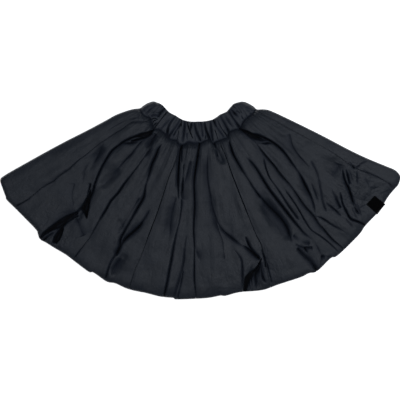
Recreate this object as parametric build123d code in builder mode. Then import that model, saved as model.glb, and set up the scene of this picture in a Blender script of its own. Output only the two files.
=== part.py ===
"""Padded flared skirt with a gathered elastic waistband, laid flat on its back.

Row frame: +Z up off the surface the skirt lies on, +Y towards the waist, +X to
the wearer's left, which is the right-hand side looking down at the front.
The origin is the centre of the bounding box's bottom face.

The skirt is a flattened tube cut as a fan.  Thirteen gores run from the waist
seam to the hem: six on the front, five on the back and one folded round each
side.  Every gore is a shell of thin cloth over a wadding batt, with a lining
inside.  Angles are measured at the fan centre from the centre line, positive
towards +X.
"""
import os
from math import cos, radians, sin

from build123d import *

os.makedirs("parts", exist_ok=True)

# ---------------------------------------------------------------- dimensions
FAN_Y = 332.3          # fan centre, on the centre line above the waistband
R_HEM = 602.0          # hem edge, from the fan centre
R_WAIST = 182.0        # seam between waistband and gores
R_TOP = 122.0          # top edge of the waistband
SIDE_DEG = 64.3        # fold line at each side of the flattened skirt

FRONT_SEAMS = [-54.8, -34.9, -17.8, -1.0, 18.9, 39.0, 60.5]
BACK_SEAMS = [-51.5, -32.0, -12.6, 6.9, 26.3, 45.8]

PAD_FRONT = 23.0       # loft of the front layer
PAD_BACK = 17.0        # loft of the back layer, pressed by the weight on it
Z_BACK = PAD_BACK      # inner face of the back gores
Z_FRONT = 31.0         # inner face of the front gores
Z_TOP = Z_FRONT + PAD_FRONT
Z_MID = (Z_BACK + Z_FRONT) / 2
SEAM_GAP = 0.45        # half the slot between two gores, where the thread runs
SHELL = 1.0            # outer cloth with its turned seam allowances
CLEAR = 0.4            # between cloth and wadding
PILLOW = 9.5           # bevel of a gore's outer edges, down to its seams
SIDE_WALL = 20.0       # padding between a side fold and the inside
FOLD_ROUND = 25.0      # round of the side folds

LINING = 0.8
FACING_W = 46.0        # shell cloth turned up inside the hem
Z_LINE_FRONT = Z_FRONT - CLEAR - LINING
Z_LINE_BACK = Z_BACK + CLEAR

BAND_DEG = 61.3        # folds of the waistband loop
BAND_Z = 40.0          # the waistband lying flat, both layers
BAND_WALL = 11.0       # one layer: gathered casing round the elastic
BAND_CORNER = 12.0     # plan round of the band's top corners
BAND_END = R_WAIST - 0.3
CASE_T = 1.0
ELASTIC_T = 2.0
ELASTIC_R0 = R_TOP + 6
ELASTIC_W = 50.0
ELASTIC_IN = (BAND_WALL - ELASTIC_T) / 2

THREAD = 0.6
FINE_THREAD = 0.4

LABEL_DEG = 54.1       # where the label sits round the hem
LABEL_W = 32.0         # along the hem
LABEL_L = 37.0         # from the hem inwards
LEAF = 0.5             # one leaf of the folded label
LEAF_GAP = 0.3
LABEL_T = 2 * LEAF + LEAF_GAP
LABEL_R = R_HEM + 0.35         # inner face of the label where it passes the hem
LABEL_LIFT = 0.4               # over the front gores
HINGE_Z = 42.5
HINGE_OUT = 0.7                # bend line outside the label's outer face
TAIL_H = 13.0


# ---------------------------------------------------------------- helpers
def fan_plane(deg, z, up=True):
    """Plane at the fan centre whose x axis runs out along the fan at deg."""
    return Plane(
        origin=(0, FAN_Y, z),
        x_dir=(sin(radians(deg)), -cos(radians(deg)), 0),
        z_dir=(0, 0, 1 if up else -1),
    )


def fan_sector(r_in, r_out, half_deg, inset=0.0):
    """Sector about the x axis of the current sketch, its ends moved in."""
    a = radians(half_deg)
    tip = inset / sin(a)
    far = 1400.0
    x, y = tip + far * cos(a), far * sin(a)
    Circle(r_out)
    Circle(r_in, mode=Mode.SUBTRACT)
    Polygon(
        (tip, 0), (x, -y), (2 * far, -y), (2 * far, y), (x, y),
        align=None, mode=Mode.INTERSECT,
    )


def save(part, label):
    part.label = label
    export_step(part, f"parts/{label}.step")


def pad(seam_a, seam_b, z, up, r_in, r_out, height, inset, bevel):
    """Closed pad between two seams, flat inside and bevelled outside."""
    with BuildPart() as solid:
        with BuildSketch(fan_plane((seam_a + seam_b) / 2, 0)):
            fan_sector(r_in, r_out, (seam_b - seam_a) / 2, inset)
        extrude(amount=height)
        chamfer(solid.faces().sort_by(Axis.Z)[-1].edges(), length=bevel)
        if not up:
            mirror(about=Plane.XY, mode=Mode.REPLACE)
    return Pos(0, 0, z) * solid.part


def flat_tube(half_deg, r_in, r_out, z0, z1, inset, fold_round):
    """Fan-shaped block, symmetric about the centre line, its folds rounded."""
    with BuildPart() as block:
        with BuildSketch(fan_plane(0, z0)):
            fan_sector(r_in, r_out, half_deg, inset)
        extrude(amount=z1 - z0)
        if fold_round:
            folds = block.faces().filter_by(GeomType.PLANE).filter_by(
                lambda f: abs(f.normal_at().Z) < 0.01
            )
            rims = folds.edges().filter_by(
                lambda e: abs((e @ 0).Z - (e @ 1).Z) < 1e-6
            )
            fillet(rims, radius=fold_round)
    return block.part


def outboard(front_deg, back_deg, gap):
    """Everything beyond a front seam above mid height and a back seam below it."""
    with BuildPart() as region:
        for deg, z0, height in ((front_deg, Z_MID, 60.0), (back_deg, Z_MID - 60.0, 60.0)):
            with BuildSketch(fan_plane(deg, z0)):
                Polygon((0, gap), (900, gap), (900, 600), (0, 600), align=None)
            extrude(amount=height)
    return region.part


# ---------------------------------------------------------------- gores
def gore(seam_a, seam_b, z, up, loft):
    """Shell and wadding of one gore."""
    way = 1 if up else -1
    outer = pad(seam_a, seam_b, z, up, R_WAIST + 0.5, R_HEM, loft, SEAM_GAP, PILLOW)
    hollow = pad(
        seam_a, seam_b, z - 5 * way, up, R_WAIST + 0.5 + SHELL, R_HEM - SHELL,
        loft + 5 - SHELL, SEAM_GAP + SHELL, PILLOW - 0.6 * SHELL,
    )
    with BuildPart() as shell:
        add(outer)
        add(hollow, mode=Mode.SUBTRACT)
    side = SHELL + CLEAR
    batt = pad(
        seam_a, seam_b, z + CLEAR * way, up, R_WAIST + 0.5 + side, R_HEM - side,
        loft - SHELL - 2 * CLEAR, SEAM_GAP + side, PILLOW - 0.6 * side,
    )
    return shell.part, batt


for i, (seam_a, seam_b) in enumerate(zip(FRONT_SEAMS, FRONT_SEAMS[1:])):
    shell, batt = gore(seam_a, seam_b, Z_FRONT, True, PAD_FRONT)
    save(shell, f"front_gore_{i + 1}")
    save(batt, f"front_wadding_{i + 1}")

for i, (seam_a, seam_b) in enumerate(zip(BACK_SEAMS, BACK_SEAMS[1:])):
    shell, batt = gore(seam_a, seam_b, Z_BACK, False, PAD_BACK)
    save(shell, f"back_gore_{i + 1}")
    save(batt, f"back_wadding_{i + 1}")


def side_gore(front_deg, back_deg):
    """Shell and wadding of the gore folded round the +X side, U-shaped in section."""
    with BuildPart() as hollow:
        add(flat_tube(
            SIDE_DEG, R_WAIST + 0.5 + SHELL, R_HEM - SHELL,
            SHELL, Z_TOP - SHELL, SHELL, FOLD_ROUND - SHELL,
        ))
        add(outboard(front_deg, back_deg, SEAM_GAP + SHELL), mode=Mode.INTERSECT)
    with BuildPart() as shell:
        add(flat_tube(SIDE_DEG, R_WAIST + 0.5, R_HEM, 0, Z_TOP, 0, FOLD_ROUND))
        add(outboard(front_deg, back_deg, SEAM_GAP), mode=Mode.INTERSECT)
        add(hollow.part, mode=Mode.SUBTRACT)
        add(
            flat_tube(SIDE_DEG, R_WAIST - 20, R_HEM + 20, Z_BACK, Z_FRONT, SIDE_WALL, 0),
            mode=Mode.SUBTRACT,
        )
    side = SHELL + CLEAR
    with BuildPart() as batt:
        add(flat_tube(
            SIDE_DEG, R_WAIST + 0.5 + side, R_HEM - side,
            side, Z_TOP - side, side, FOLD_ROUND - side,
        ))
        add(outboard(front_deg, back_deg, SEAM_GAP + side), mode=Mode.INTERSECT)
        add(
            flat_tube(
                SIDE_DEG, R_WAIST - 20, R_HEM + 20,
                Z_BACK - CLEAR, Z_FRONT + CLEAR, SIDE_WALL - CLEAR, 0,
            ),
            mode=Mode.SUBTRACT,
        )
    return shell.part, batt.part


shell, batt = side_gore(FRONT_SEAMS[-1], BACK_SEAMS[-1])
save(shell, "side_gore_left")
save(batt, "side_wadding_left")
shell, batt = side_gore(-FRONT_SEAMS[0], -BACK_SEAMS[0])
save(mirror(shell, about=Plane.YZ), "side_gore_right")
save(mirror(batt, about=Plane.YZ), "side_wadding_right")


# ---------------------------------------------------------------- lining
def inside_sheet(r_in, r_out, front):
    """Flat inner cloth with a rim at each side that meets the other layer's."""
    z0 = Z_LINE_FRONT if front else Z_LINE_BACK
    lo, hi = (Z_MID + 0.05, z0 + LINING) if front else (z0, Z_MID - 0.05)
    edge = SIDE_WALL + CLEAR
    with BuildPart() as sheet:
        add(flat_tube(SIDE_DEG, r_in, r_out, lo, hi, edge, 0))
        add(
            flat_tube(
                SIDE_DEG, r_in - 5, r_out + 5,
                lo - 1 if front else lo + LINING, hi - LINING if front else hi + 1,
                edge + LINING, 0,
            ),
            mode=Mode.SUBTRACT,
        )
    return sheet.part


SPLIT_R = R_HEM - FACING_W
save(inside_sheet(R_WAIST + 1, SPLIT_R - 0.3, True), "lining_front")
save(inside_sheet(R_WAIST + 1, SPLIT_R - 0.3, False), "lining_back")
save(inside_sheet(SPLIT_R + 0.3, R_HEM - 1.5, True), "hem_facing_front")
save(inside_sheet(SPLIT_R + 0.3, R_HEM - 1.5, False), "hem_facing_back")

# ---------------------------------------------------------------- waistband
with BuildPart() as band_plan:
    with BuildSketch(fan_plane(0, -5)) as band_shape:
        fan_sector(R_TOP, BAND_END, BAND_DEG)
        corners = band_shape.vertices().filter_by(lambda v: v.X < 75)
        fillet(corners, radius=BAND_CORNER)
    extrude(amount=60)

with BuildPart() as channel_plan:
    with BuildSketch(fan_plane(0, -5)) as channel_shape:
        fan_sector(R_TOP + CASE_T, BAND_END + 5, BAND_DEG, CASE_T)
        corners = channel_shape.vertices().filter_by(lambda v: v.X < 75)
        fillet(corners, radius=BAND_CORNER - CASE_T)
    extrude(amount=60)

with BuildPart() as channel:
    # space inside the casing, where the elastic runs
    add(flat_tube(BAND_DEG, R_TOP, BAND_END + 5, CASE_T, BAND_Z - CASE_T, CASE_T, 17))
    add(channel_plan.part, mode=Mode.INTERSECT)
    skin = BAND_WALL - CASE_T
    add(
        flat_tube(BAND_DEG, R_TOP - 10, BAND_END + 20, skin, BAND_Z - skin, skin, 9),
        mode=Mode.SUBTRACT,
    )

with BuildPart() as casing:
    add(flat_tube(BAND_DEG, R_TOP, BAND_END, 0, BAND_Z, 0, 18))
    add(band_plan.part, mode=Mode.INTERSECT)
    add(
        flat_tube(
            BAND_DEG, R_TOP - 20, BAND_END + 20,
            BAND_WALL, BAND_Z - BAND_WALL, BAND_WALL, 8,
        ),
        mode=Mode.SUBTRACT,
    )
    add(channel.part, mode=Mode.SUBTRACT)

with BuildPart() as waistband_casing_front:
    add(casing.part)
    split(bisect_by=Plane.XY.offset(BAND_Z / 2), keep=Keep.TOP)
save(waistband_casing_front.part, "waistband_casing_front")

with BuildPart() as waistband_casing_back:
    add(casing.part)
    split(bisect_by=Plane.XY.offset(BAND_Z / 2), keep=Keep.BOTTOM)
save(waistband_casing_back.part, "waistband_casing_back")

with BuildPart() as waist_elastic:
    add(flat_tube(
        BAND_DEG, ELASTIC_R0, ELASTIC_R0 + ELASTIC_W,
        ELASTIC_IN, BAND_Z - ELASTIC_IN, ELASTIC_IN, 14,
    ))
    inner = ELASTIC_IN + ELASTIC_T
    add(
        flat_tube(BAND_DEG, ELASTIC_R0 - 5, BAND_END + 5, inner, BAND_Z - inner, inner, 12),
        mode=Mode.SUBTRACT,
    )
save(waist_elastic.part, "waist_elastic")

with BuildPart() as elastic_join_stitches:
    # two zigzag rows that close the elastic's loop at the centre back
    with BuildSketch(Plane.XY.offset(ELASTIC_IN + ELASTIC_T + 0.1)):
        for side in (-1, 1):
            for k in range(7):
                y = FAN_Y - (ELASTIC_R0 + 6 + k * 6.0)
                with Locations(Location((side * 5.0, y, 0), 35 if k % 2 else -35)):
                    Rectangle(THREAD, 5.2)
    extrude(amount=THREAD)
save(elastic_join_stitches.part, "elastic_join_stitches")

# ---------------------------------------------------------------- threads
with BuildPart() as gore_seam_threads_front:
    for deg in FRONT_SEAMS:
        with BuildSketch(fan_plane(deg, Z_FRONT + 8)):
            with Locations(((R_WAIST + R_HEM) / 2, 0)):
                Rectangle(R_HEM - R_WAIST - 8, THREAD)
        extrude(amount=THREAD)
save(gore_seam_threads_front.part, "gore_seam_threads_front")

with BuildPart() as gore_seam_threads_back:
    for deg in BACK_SEAMS:
        with BuildSketch(fan_plane(deg, Z_BACK - 8)):
            with Locations(((R_WAIST + R_HEM) / 2, 0)):
                Rectangle(R_HEM - R_WAIST - 8, THREAD)
        extrude(amount=THREAD)
save(gore_seam_threads_back.part, "gore_seam_threads_back")

with BuildPart() as waist_seam_thread:
    for z in (8.0, BAND_Z - BAND_WALL + 2.5):
        with BuildSketch(fan_plane(0, z)):
            fan_sector(R_WAIST - 0.1, R_WAIST - 0.1 + FINE_THREAD, 54)
        extrude(amount=THREAD)
save(waist_seam_thread.part, "waist_seam_thread")

with BuildPart() as hem_facing_thread:
    for z in (Z_LINE_BACK, Z_LINE_FRONT):
        with BuildSketch(fan_plane(0, z)):
            fan_sector(SPLIT_R - FINE_THREAD / 2, SPLIT_R + FINE_THREAD / 2, 54)
        extrude(amount=THREAD)
save(hem_facing_thread.part, "hem_facing_thread")

# ---------------------------------------------------------------- hem label
# Local frame of the label: origin on the hem under its middle, x inwards along
# the fan, y up, z along the hem.
out_x, out_y = sin(radians(LABEL_DEG)), -cos(radians(LABEL_DEG))
along_x, along_y = -out_y, out_x


def label_plane(shift):
    """Section plane of the label, shift along the hem from its middle."""
    return Plane(
        origin=(
            LABEL_R * out_x + shift * along_x,
            FAN_Y + LABEL_R * out_y + shift * along_y,
            0,
        ),
        x_dir=(-out_x, -out_y, 0),
        z_dir=(along_x, along_y, 0),
    )


BEND_R = 9.5
z_bend = Z_TOP + LABEL_LIFT - BEND_R
x_end = LABEL_L - LABEL_T

with BuildPart() as hem_label:
    # one strip folded at its free end, carried over the roll of the hem
    with BuildSketch(label_plane(-LABEL_W / 2)):
        for near in (0.0, LEAF + LEAF_GAP):
            with Locations((-near - LEAF / 2, (HINGE_Z + z_bend) / 2 + 0.2)):
                Rectangle(LEAF, z_bend - HINGE_Z - 0.4)
            with BuildLine(mode=Mode.PRIVATE) as turn:
                a = CenterArc((BEND_R, z_bend), BEND_R + near, 90, 90)
                b = CenterArc((BEND_R, z_bend), BEND_R + near + LEAF, 90, 90)
                Line(a @ 0, b @ 0)
                Line(a @ 1, b @ 1)
            make_face(turn.edges())
            with Locations(((BEND_R + x_end) / 2, z_bend + BEND_R + near + LEAF / 2)):
                Rectangle(x_end - BEND_R, LEAF)
        with Locations((x_end - LEAF / 2, z_bend + BEND_R + LABEL_T / 2)):
            Rectangle(LEAF, LABEL_T)
    extrude(amount=LABEL_W)
save(hem_label.part, "hem_label")

with BuildPart() as hem_label_tail:
    # both ends of the strip, sewn flat to the hem below the bend
    with BuildSketch(label_plane(-LABEL_W / 2)):
        with Locations((-LABEL_T / 2, HINGE_Z - 0.3 - TAIL_H / 2)):
            Rectangle(LABEL_T, TAIL_H)
    extrude(amount=LABEL_W)
save(hem_label_tail.part, "hem_label_tail")

with BuildPart() as hem_label_stitches:
    for k in range(7):
        with BuildSketch(label_plane((k - 3) * 4.4 - 1.4)):
            with Locations((-LABEL_T - FINE_THREAD / 2, HINGE_Z - TAIL_H + 2)):
                Rectangle(FINE_THREAD, THREAD)
        extrude(amount=2.8)
save(hem_label_stitches.part, "hem_label_stitches")
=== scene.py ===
"""Padded flared skirt with a gathered waistband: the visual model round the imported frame.

Plan shapes are in millimetres in the row frame (x to the wearer's left, y to
the waist) and turn into metres where the meshes are made.  Angles are measured
at the fan centre from the centre line, positive towards +x.
"""
import math

import bpy
import numpy as np
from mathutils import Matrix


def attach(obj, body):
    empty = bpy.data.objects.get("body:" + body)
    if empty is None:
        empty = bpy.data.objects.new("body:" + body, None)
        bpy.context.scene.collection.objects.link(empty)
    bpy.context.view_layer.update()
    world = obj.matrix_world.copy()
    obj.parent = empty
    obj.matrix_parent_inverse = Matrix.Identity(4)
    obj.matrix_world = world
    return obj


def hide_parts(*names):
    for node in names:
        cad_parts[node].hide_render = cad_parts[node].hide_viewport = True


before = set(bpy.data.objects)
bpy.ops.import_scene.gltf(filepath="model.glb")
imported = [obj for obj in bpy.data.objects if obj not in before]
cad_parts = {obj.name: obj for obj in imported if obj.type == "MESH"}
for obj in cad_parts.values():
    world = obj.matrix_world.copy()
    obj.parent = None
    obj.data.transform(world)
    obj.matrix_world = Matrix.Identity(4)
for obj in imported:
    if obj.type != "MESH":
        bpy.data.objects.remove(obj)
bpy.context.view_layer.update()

# ------------------------------------------------------------------ plan curves
CX, CY = 0.0, 330.75
# creases: name, depth, width on each side along the line, tapers, points from the waist outwards
FOLDS = [
    ("f1", [26, 20.4, 21.1, 26, 18.8, 21.4, 26, 25.2], [1.5, 1.8, 1.5, 1.5, 1.5, 1.2], [2.4, 2.9, 2.4, 2.4, 2.4, 2.9], 0.08, 0.08, [(-121, 189.1), (-134.9, 177.6), (-151.9, 178.2), (-175.6, 169.6), (-202.3, 157.8), (-215.1, 148.6), (-234.4, 133.2), (-247.5, 115.3), (-264.6, 85.7), (-275.1, 62.4), (-282.2, 42.5), (-287.8, 22.5), (-296.9, -0.7), (-300.8, -24.2), (-305.7, -47.6)]),
    ("f1b", [26, 26, 26, 26], [1.5, 1.5], [6.27, 6.27], 0.08, 0.08, [(-128.4, 182.3), (-145.2, 170.5), (-159.3, 165.5), (-186.3, 157.5)]),
    ("f1c", [4.6, 14.4, 0.5], [4.72, 4.72], [1.5, 1.5], 0.08, 0.08, [(-209.4, 154.1), (-189.5, 152.3), (-163, 157.1)]),
    ("f1d", [14.9, 13, 0.2], [3.03, 3.03], [1.5, 1.5], 0.08, 0.08, [(-293, 44.7), (-299.2, 19.2), (-304.8, 8.3)]),
    ("f1e", [10.6, 21.2, 12.8], [2.98, 2.98], [3.83, 3.83], 0.08, 0.08, [(-300.3, 1.7), (-310.7, -17.2), (-314.2, -36.4)]),
    ("f1f", [22.8, 11.8, 26, 26, 15.7, 23.3], [1.2, 1.5, 2.1, 2.2, 1.8, 1.2], [5.87, 5.87], 0.08, 0, [(-304.9, -8.7), (-323.1, -25.1), (-336.3, -37), (-356.7, -45.4), (-377.1, -61.6), (-397.2, -73.6), (-413.8, -85.5), (-430.1, -103.8)]),
    ("f1g", [13.4, 23.6, 2, 1.3], [16, 16], [1.5, 1.5], 0.08, 0, [(-324.4, -42.2), (-351.5, -55.7), (-365.7, -69.4), (-373.9, -88.3), (-384, -103.3), (-395.3, -120.5)]),
    ("f1h", [11.2, 1, 10.8, 26], [3.14, 3.14], [3.14, 3.14], 0.08, 0, [(-373.4, -69), (-388, -84.2), (-405.3, -95), (-420.5, -108.3)]),
    ("g1", [3, 5, 7.5, 3], [14, 14], [13, 13], 0.3, 0.5, [(-256.3, 157.7), (-269, 133.2), (-280.9, 106.9), (-295.2, 88.7)]),
    ("g2", [1, 3, 2.5, 1], [9, 9], [6, 6], 0.3, 0.4, [(-289.1, 105), (-307, 85), (-312.9, 58.4), (-317.4, 36.7)]),
    ("g3", [2.2, 1.7, 1.6, 1.4], [16, 16], [2.78, 2.78], 0.08, 0.08, [(-336.5, 45.5), (-342.9, 12.8), (-338.7, -16.7)]),
    ("g4", [6.9, 3.5, 5.6], [16, 16], [15.77, 15.77], 0.08, 0.08, [(-332.9, -48.3), (-322.6, -72.7), (-312.5, -97.2)]),
    ("g5", [3.6, 1.2, 1.8, 1.1], [6.25, 6.25], [6.25, 6.25], 0.08, 0.08, [(-160.2, 222.1), (-194.9, 214.7), (-222.4, 202), (-250.7, 182)]),
    ("f2", [6.9, 3.8, 7.9, 5, 5, 1.5], [2.1, 2.1], [5, 5], 0.08, 0.5, [(-154.1, 160.2), (-165.6, 147), (-182.9, 123.6), (-200.1, 106.8), (-216.2, 86.6), (-227.9, 69.6), (-234.4, 52.8)]),
    ("f2s", [1, 3, 2, 1], [7, 7], [6, 6], 0.08, 0.08, [(-216, 85.1), (-234.1, 62.8), (-249.7, 48.7), (-262.9, 35.2)]),
    ("f2b", [7.3, 8.1, 0.3], [16, 16], [5.17, 5.17], 0.08, 0.08, [(-116.6, 177.7), (-132, 154.6), (-147.5, 134.3)]),
    ("f2c", [1.2, 9.5, 1, 1.7], [4.21, 4.21], [10.57, 10.57], 0.08, 0.08, [(-127.7, 144.1), (-143.5, 121.4), (-164, 96.1)]),
    ("f3", [26, 23.2, 4.2, 24.4, 11.2, 21.8, 8.1, 14.2], [3.58, 3.58], [2.53, 2.53], 0.08, 0, [(-100.3, 152.1), (-111.2, 136.4), (-119.1, 116.9), (-128.6, 95.9), (-137.3, 66), (-146, 36.6), (-150.3, 9.3), (-163.6, -15.3), (-177, -39), (-187.5, -58.1), (-201.5, -81.9), (-212.7, -105.2), (-215, -124.7), (-228.1, -149.3), (-239.7, -168.9), (-252.3, -207.6)]),
    ("f3b", [3.7, 6.4, 24.6, 26, 10.9, 26], [5.88, 5.88], [4.24, 4.24], 0.08, 0.08, [(-133.6, -23.2), (-151.6, -54.8), (-162.7, -70.4), (-182.1, -88.6), (-201.5, -106), (-215.4, -128.7), (-226.1, -151.6)]),
    ("f3c", [7, 8, 4, 3], [4.5, 4.5], [8, 8], 0.2, 0.4, [(-208.6, -154.3), (-221.9, -169.2), (-235, -195.5), (-240.4, -212.5)]),
    ("f3s", [8.9, 2.4, 0.2, 2.9, 0.2, 0.9], [4.93, 4.93], [6.55, 6.55], 0.08, 0.08, [(-159.3, 7.9), (-191.5, -40.3), (-213.4, -77.3), (-236.1, -125)]),
    ("f4", [26, 26, 26, 26, 9, 2], [3.6, 3.6], [1.5, 1.5], 0, 0.08, [(-46.4, 149.6), (-51.9, 136.6), (-55.2, 106.6), (-57.8, 73), (-58.8, 46.5), (-57.3, 19.6), (-56.4, -3.5)]),
    ("f4x", [11.9, 4.8, 3.6, 8.5, 14.2, 16.3, 16.9, 26], [2.14, 2.14], [2.94, 2.94], 0.08, 0, [(-50, 10.3), (-49.4, -11), (-52.9, -41.2), (-56.7, -61.5), (-64.3, -91.8), (-70, -121.9), (-77.1, -162.3), (-83, -191.8), (-90, -229.1), (-98, -260.8)]),
    ("f4b", [7.1, 2.5, 20.3, 3.2], [1.95, 1.95], [1.61, 1.61], 0.08, 0.08, [(-43.1, 98.6), (-45.2, 69.6), (-46.3, 39.5), (-49.9, 4.4)]),
    ("f4c", [10, 16, 9, 3], [2.2, 2.2], [2.4, 2.4], 0.1, 0.3, [(-47.2, 147.8), (-49.4, 136.6), (-49.8, 114.8), (-49.8, 95.9)]),
    ("f4s", [2.9, 4.7, 4.9, 0.9], [16, 16], [9.37, 9.37], 0.08, 0.08, [(-63.2, 10.1), (-68.9, -7.3), (-75.6, -34.2), (-80.2, -67.8), (-81.7, -100.1)]),
    ("f4t", [4.3, 5.5, 1, 6.2], [4.08, 4.08], [14.86, 14.86], 0.08, 0.08, [(-24.9, 106.3), (-34.3, 66.4), (-44.3, 33.3), (-48.4, -0.3)]),
    ("f4u", [1.9, 2.5, 6.7, 5, 6, 5.8], [6.77, 6.77], [4.24, 4.24], 0.08, 0, [(-35.7, -88.9), (-41.8, -131.7), (-43.9, -164.7), (-54.6, -209), (-68.7, -255.8)]),
    ("f4v", [5, 6.3, 4.5, 6.8], [1.5, 1.5], [4.43, 4.43], 0.08, 0, [(-46.2, -188.9), (-51.4, -221.2), (-60, -258.7)]),
    ("f5", [26, 21.8, 10.4, 10.2, 6.2, 2.9, 6.4, 1.4], [4.2, 4.2], [3.34, 3.34], 0, 0, [(-1.6, 152.4), (-4.8, 127), (-8.9, 99.9), (-12.6, 76.9), (-15.7, 46.3), (-14.9, 12.8), (-14, -20.8), (-16.2, -54.5), (-17.1, -87.9), (-15, -121.5), (-15, -168.6), (-14.7, -215.5), (-9.9, -261)]),
    ("f5b", [0.8, 4.5, 0.2], [4.44, 4.44], [16, 16], 0.08, 0.08, [(-14.4, -127.8), (-4.1, -148.4), (1.5, -166.8)]),
    ("f6", [1.8, 5.1, 5.3, 5.3, 5.7, 2.3], [16, 16], [5.27, 5.27], 0.08, 0.08, [(20.2, 123.4), (18.8, 93.4), (20.2, 53.2), (26.7, 13), (33.4, -24.4), (43.5, -52.1), (50.5, -72)]),
    ("f6a", [1.9, 7.6, 12.2, 2.2, 26, 23.7], [7.57, 7.57], [2.85, 2.85], 0.08, 0.08, [(44.5, -55.7), (57.2, -76.2), (71.3, -90.6), (89.5, -104.9), (109.2, -119.4), (130.2, -131.2), (146.3, -145.3), (162.1, -159.7)]),
    ("f6b", [0.5, 6.1, 2.8, 2.9, 1.5, 4.2], [16, 16], [1.86, 1.86], 0.08, 0.08, [(38.7, -41), (49.3, -81.2), (59.2, -108.1), (62.6, -135), (66.1, -161.8)]),
    ("f6c", [6.6, 20.1, 13.3, 21.2], [2.17, 2.17], [2.81, 2.81], 0.08, 0.08, [(121.9, -97.5), (132.8, -124.3), (145.4, -142.6), (161.2, -159.9)]),
    ("f6d", [3.6, 16.5, 16.4], [2.39, 2.39], [1.5, 1.5], 0.08, 0.08, [(164.6, -132.5), (172.9, -155), (177.1, -180.5)]),
    ("f6e", [0.8, 6.2, 9.8, 3.8], [3.85, 3.85], [3.83, 3.83], 0.08, 0, [(87.5, -130.2), (103.6, -147.9), (111.7, -164.4), (113.8, -195.4), (114, -237.1)]),
    ("p1", [1.3, 26, 26, 26], [1.5, 1.5], [8.58, 8.58], 0.08, 0, [(163.9, -162.3), (158.1, -182.8), (147.7, -195.9), (131.8, -201), (126.8, -211.1), (122.4, -229.1), (115.6, -247.3)]),
    ("p2", [0.2, 26, 26, 20.5], [2.39, 2.39], [3.73, 3.73], 0.08, 0.08, [(145.7, -183), (132.2, -207.2), (123, -233.8)]),
    ("q1", [0.2, 7.5, 13.8, 1.6], [7.19, 7.19], [4.04, 4.04], 0.08, 0.08, [(161.1, -172.8), (168.7, -208.3), (179.5, -224.4)]),
    ("q2", [1.5, 10.7, 6, 7.8], [1.6, 1.6], [2.33, 2.33], 0.08, 0.08, [(175.2, -158.2), (182.7, -184.9), (192.9, -222.8)]),
    ("q3", [15.1, 12.9, 1.7], [5.24, 5.24], [3.21, 3.21], 0.08, 0, [(146.5, -194.3), (153.5, -237.1)]),
    ("q4", [26, 4.4, 1.5], [1.86, 1.86], [1.5, 1.5], 0.08, 0, [(136.6, -202.3), (141.5, -239.7)]),
    ("q5", [26, 2.2, 0.2], [2.5, 2.5], [1.5, 1.5], 0.08, 0, [(129.4, -213), (135.4, -242.2)]),
    ("f7", [8.2, 24.4, 14.6, 3.2, 7.2, 21.3], [3.95, 3.95], [1.5, 1.5], 0.08, 0.08, [(76.8, 163.6), (81.5, 147.2), (88.9, 124.1), (101, 100.9), (114, 78), (133.8, 46.9), (149.4, 23.7), (166, 2.1)]),
    ("f7w", [4, 12, 18, 20, 19, 16, 8], [4, 7.2, 12, 15.2, 13.6, 9.6, 4.8], [4, 4], 0.2, 0.25, [(152.8, 19.5), (179.3, -11.4), (201.9, -32.8), (219.5, -52), (232.9, -72.9), (239.7, -93.8), (247.8, -120.9)]),
    ("f7t", [26, 1.8, 8.1], [1.5, 1.5], [1.5, 1.5], 0.08, 0.08, [(35.8, 157.7), (42.9, 136.7), (48.5, 115.2)]),
    ("f7u", [1.1, 1.2, 3.8, 0.2], [16, 16], [7.28, 7.28], 0.08, 0.08, [(42.5, 143.5), (55.7, 116.6), (67.8, 93)]),
    ("f8", [4.1, 13.1, 20.6, 26, 26, 10.1, 0.4, 7], [4.49, 4.49], [2.19, 2.19], 0.08, 0.08, [(121.3, 119.5), (132.8, 106.7), (149.3, 86.8), (166.4, 59.7), (183.1, 32.6), (200, 10), (220.6, -16.5), (241.1, -43.1), (260.9, -67.6), (281.2, -91), (302.6, -109.4), (316.6, -130.6), (325.7, -153)]),
    ("f9", [1.5, 10, 4.1, 9, 12, 14], [2, 2], [2, 2], 0.08, 0.08, [(168.7, 121.1), (176, 87.5), (185.6, 60.9), (201.8, 38.1), (218.1, 14), (235.2, -13), (250.7, -34.3), (266.2, -55.3)]),
    ("f9b", [5, 9, 10, 6, 7.7, 4], [1.8, 1.8], [1.5, 1.5], 0.08, 0, [(225.3, 29.6), (251.9, -6.5), (268.4, -33.6), (281.3, -56.7), (297.6, -80.6), (321.9, -96.2), (345.1, -114.4), (369.1, -138)]),
    ("f10", [1.9, 10.1, 10.1, 4.3, 7.9, 7.8, 7.7, 2], [9.05, 9.05], [1.5, 1.5], 0.08, 0, [(144, 158.5), (160.6, 137.5), (180.3, 113.8), (200.3, 90.7), (217, 67.1), (241.4, 40.4), (260.8, 12.9), (276.8, -11.4), (293.9, -30.5), (308.1, -47.4), (318.1, -64.4), (334.4, -81.4), (354.8, -104.7), (386.3, -131.4)]),
    ("f11", [25.9, 19, 19.9, 5], [4.86, 4.86], [1.5, 1.5], 0, 0.08, [(107.1, 192), (120.4, 181.7), (136.6, 169), (160.4, 162), (181.6, 161.5)]),
    ("f11b", [25.9, 24.7, 20.6, 14.3, 3.8, 25.2, 7.7, 1.1], [5.66, 5.66], [1.73, 1.73], 0.08, 0.08, [(122.9, 181.2), (132, 176.9), (152.9, 174.8), (176.7, 165), (198.6, 152.6), (218.7, 136.1), (235.7, 115.1), (252, 91.6), (268.8, 67.5), (281.3, 43.2), (293.3, 19), (301.6, -0.9), (306.3, -20.8), (308, -46.3)]),
    ("f11c", [0.4, 3.3, 19.2, 0.6], [2.15, 2.15], [1.5, 1.5], 0.08, 0.08, [(144, 156), (160.2, 152.2), (178.6, 152.3), (197.3, 153)]),
    ("r1", [3.5, 4.1, 4.6, 1.3], [16, 16], [4.15, 4.15], 0.08, 0.08, [(239.6, 179.6), (244.7, 150.8), (254.8, 131.6), (270.8, 110.7), (292.6, 86.7)]),
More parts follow.
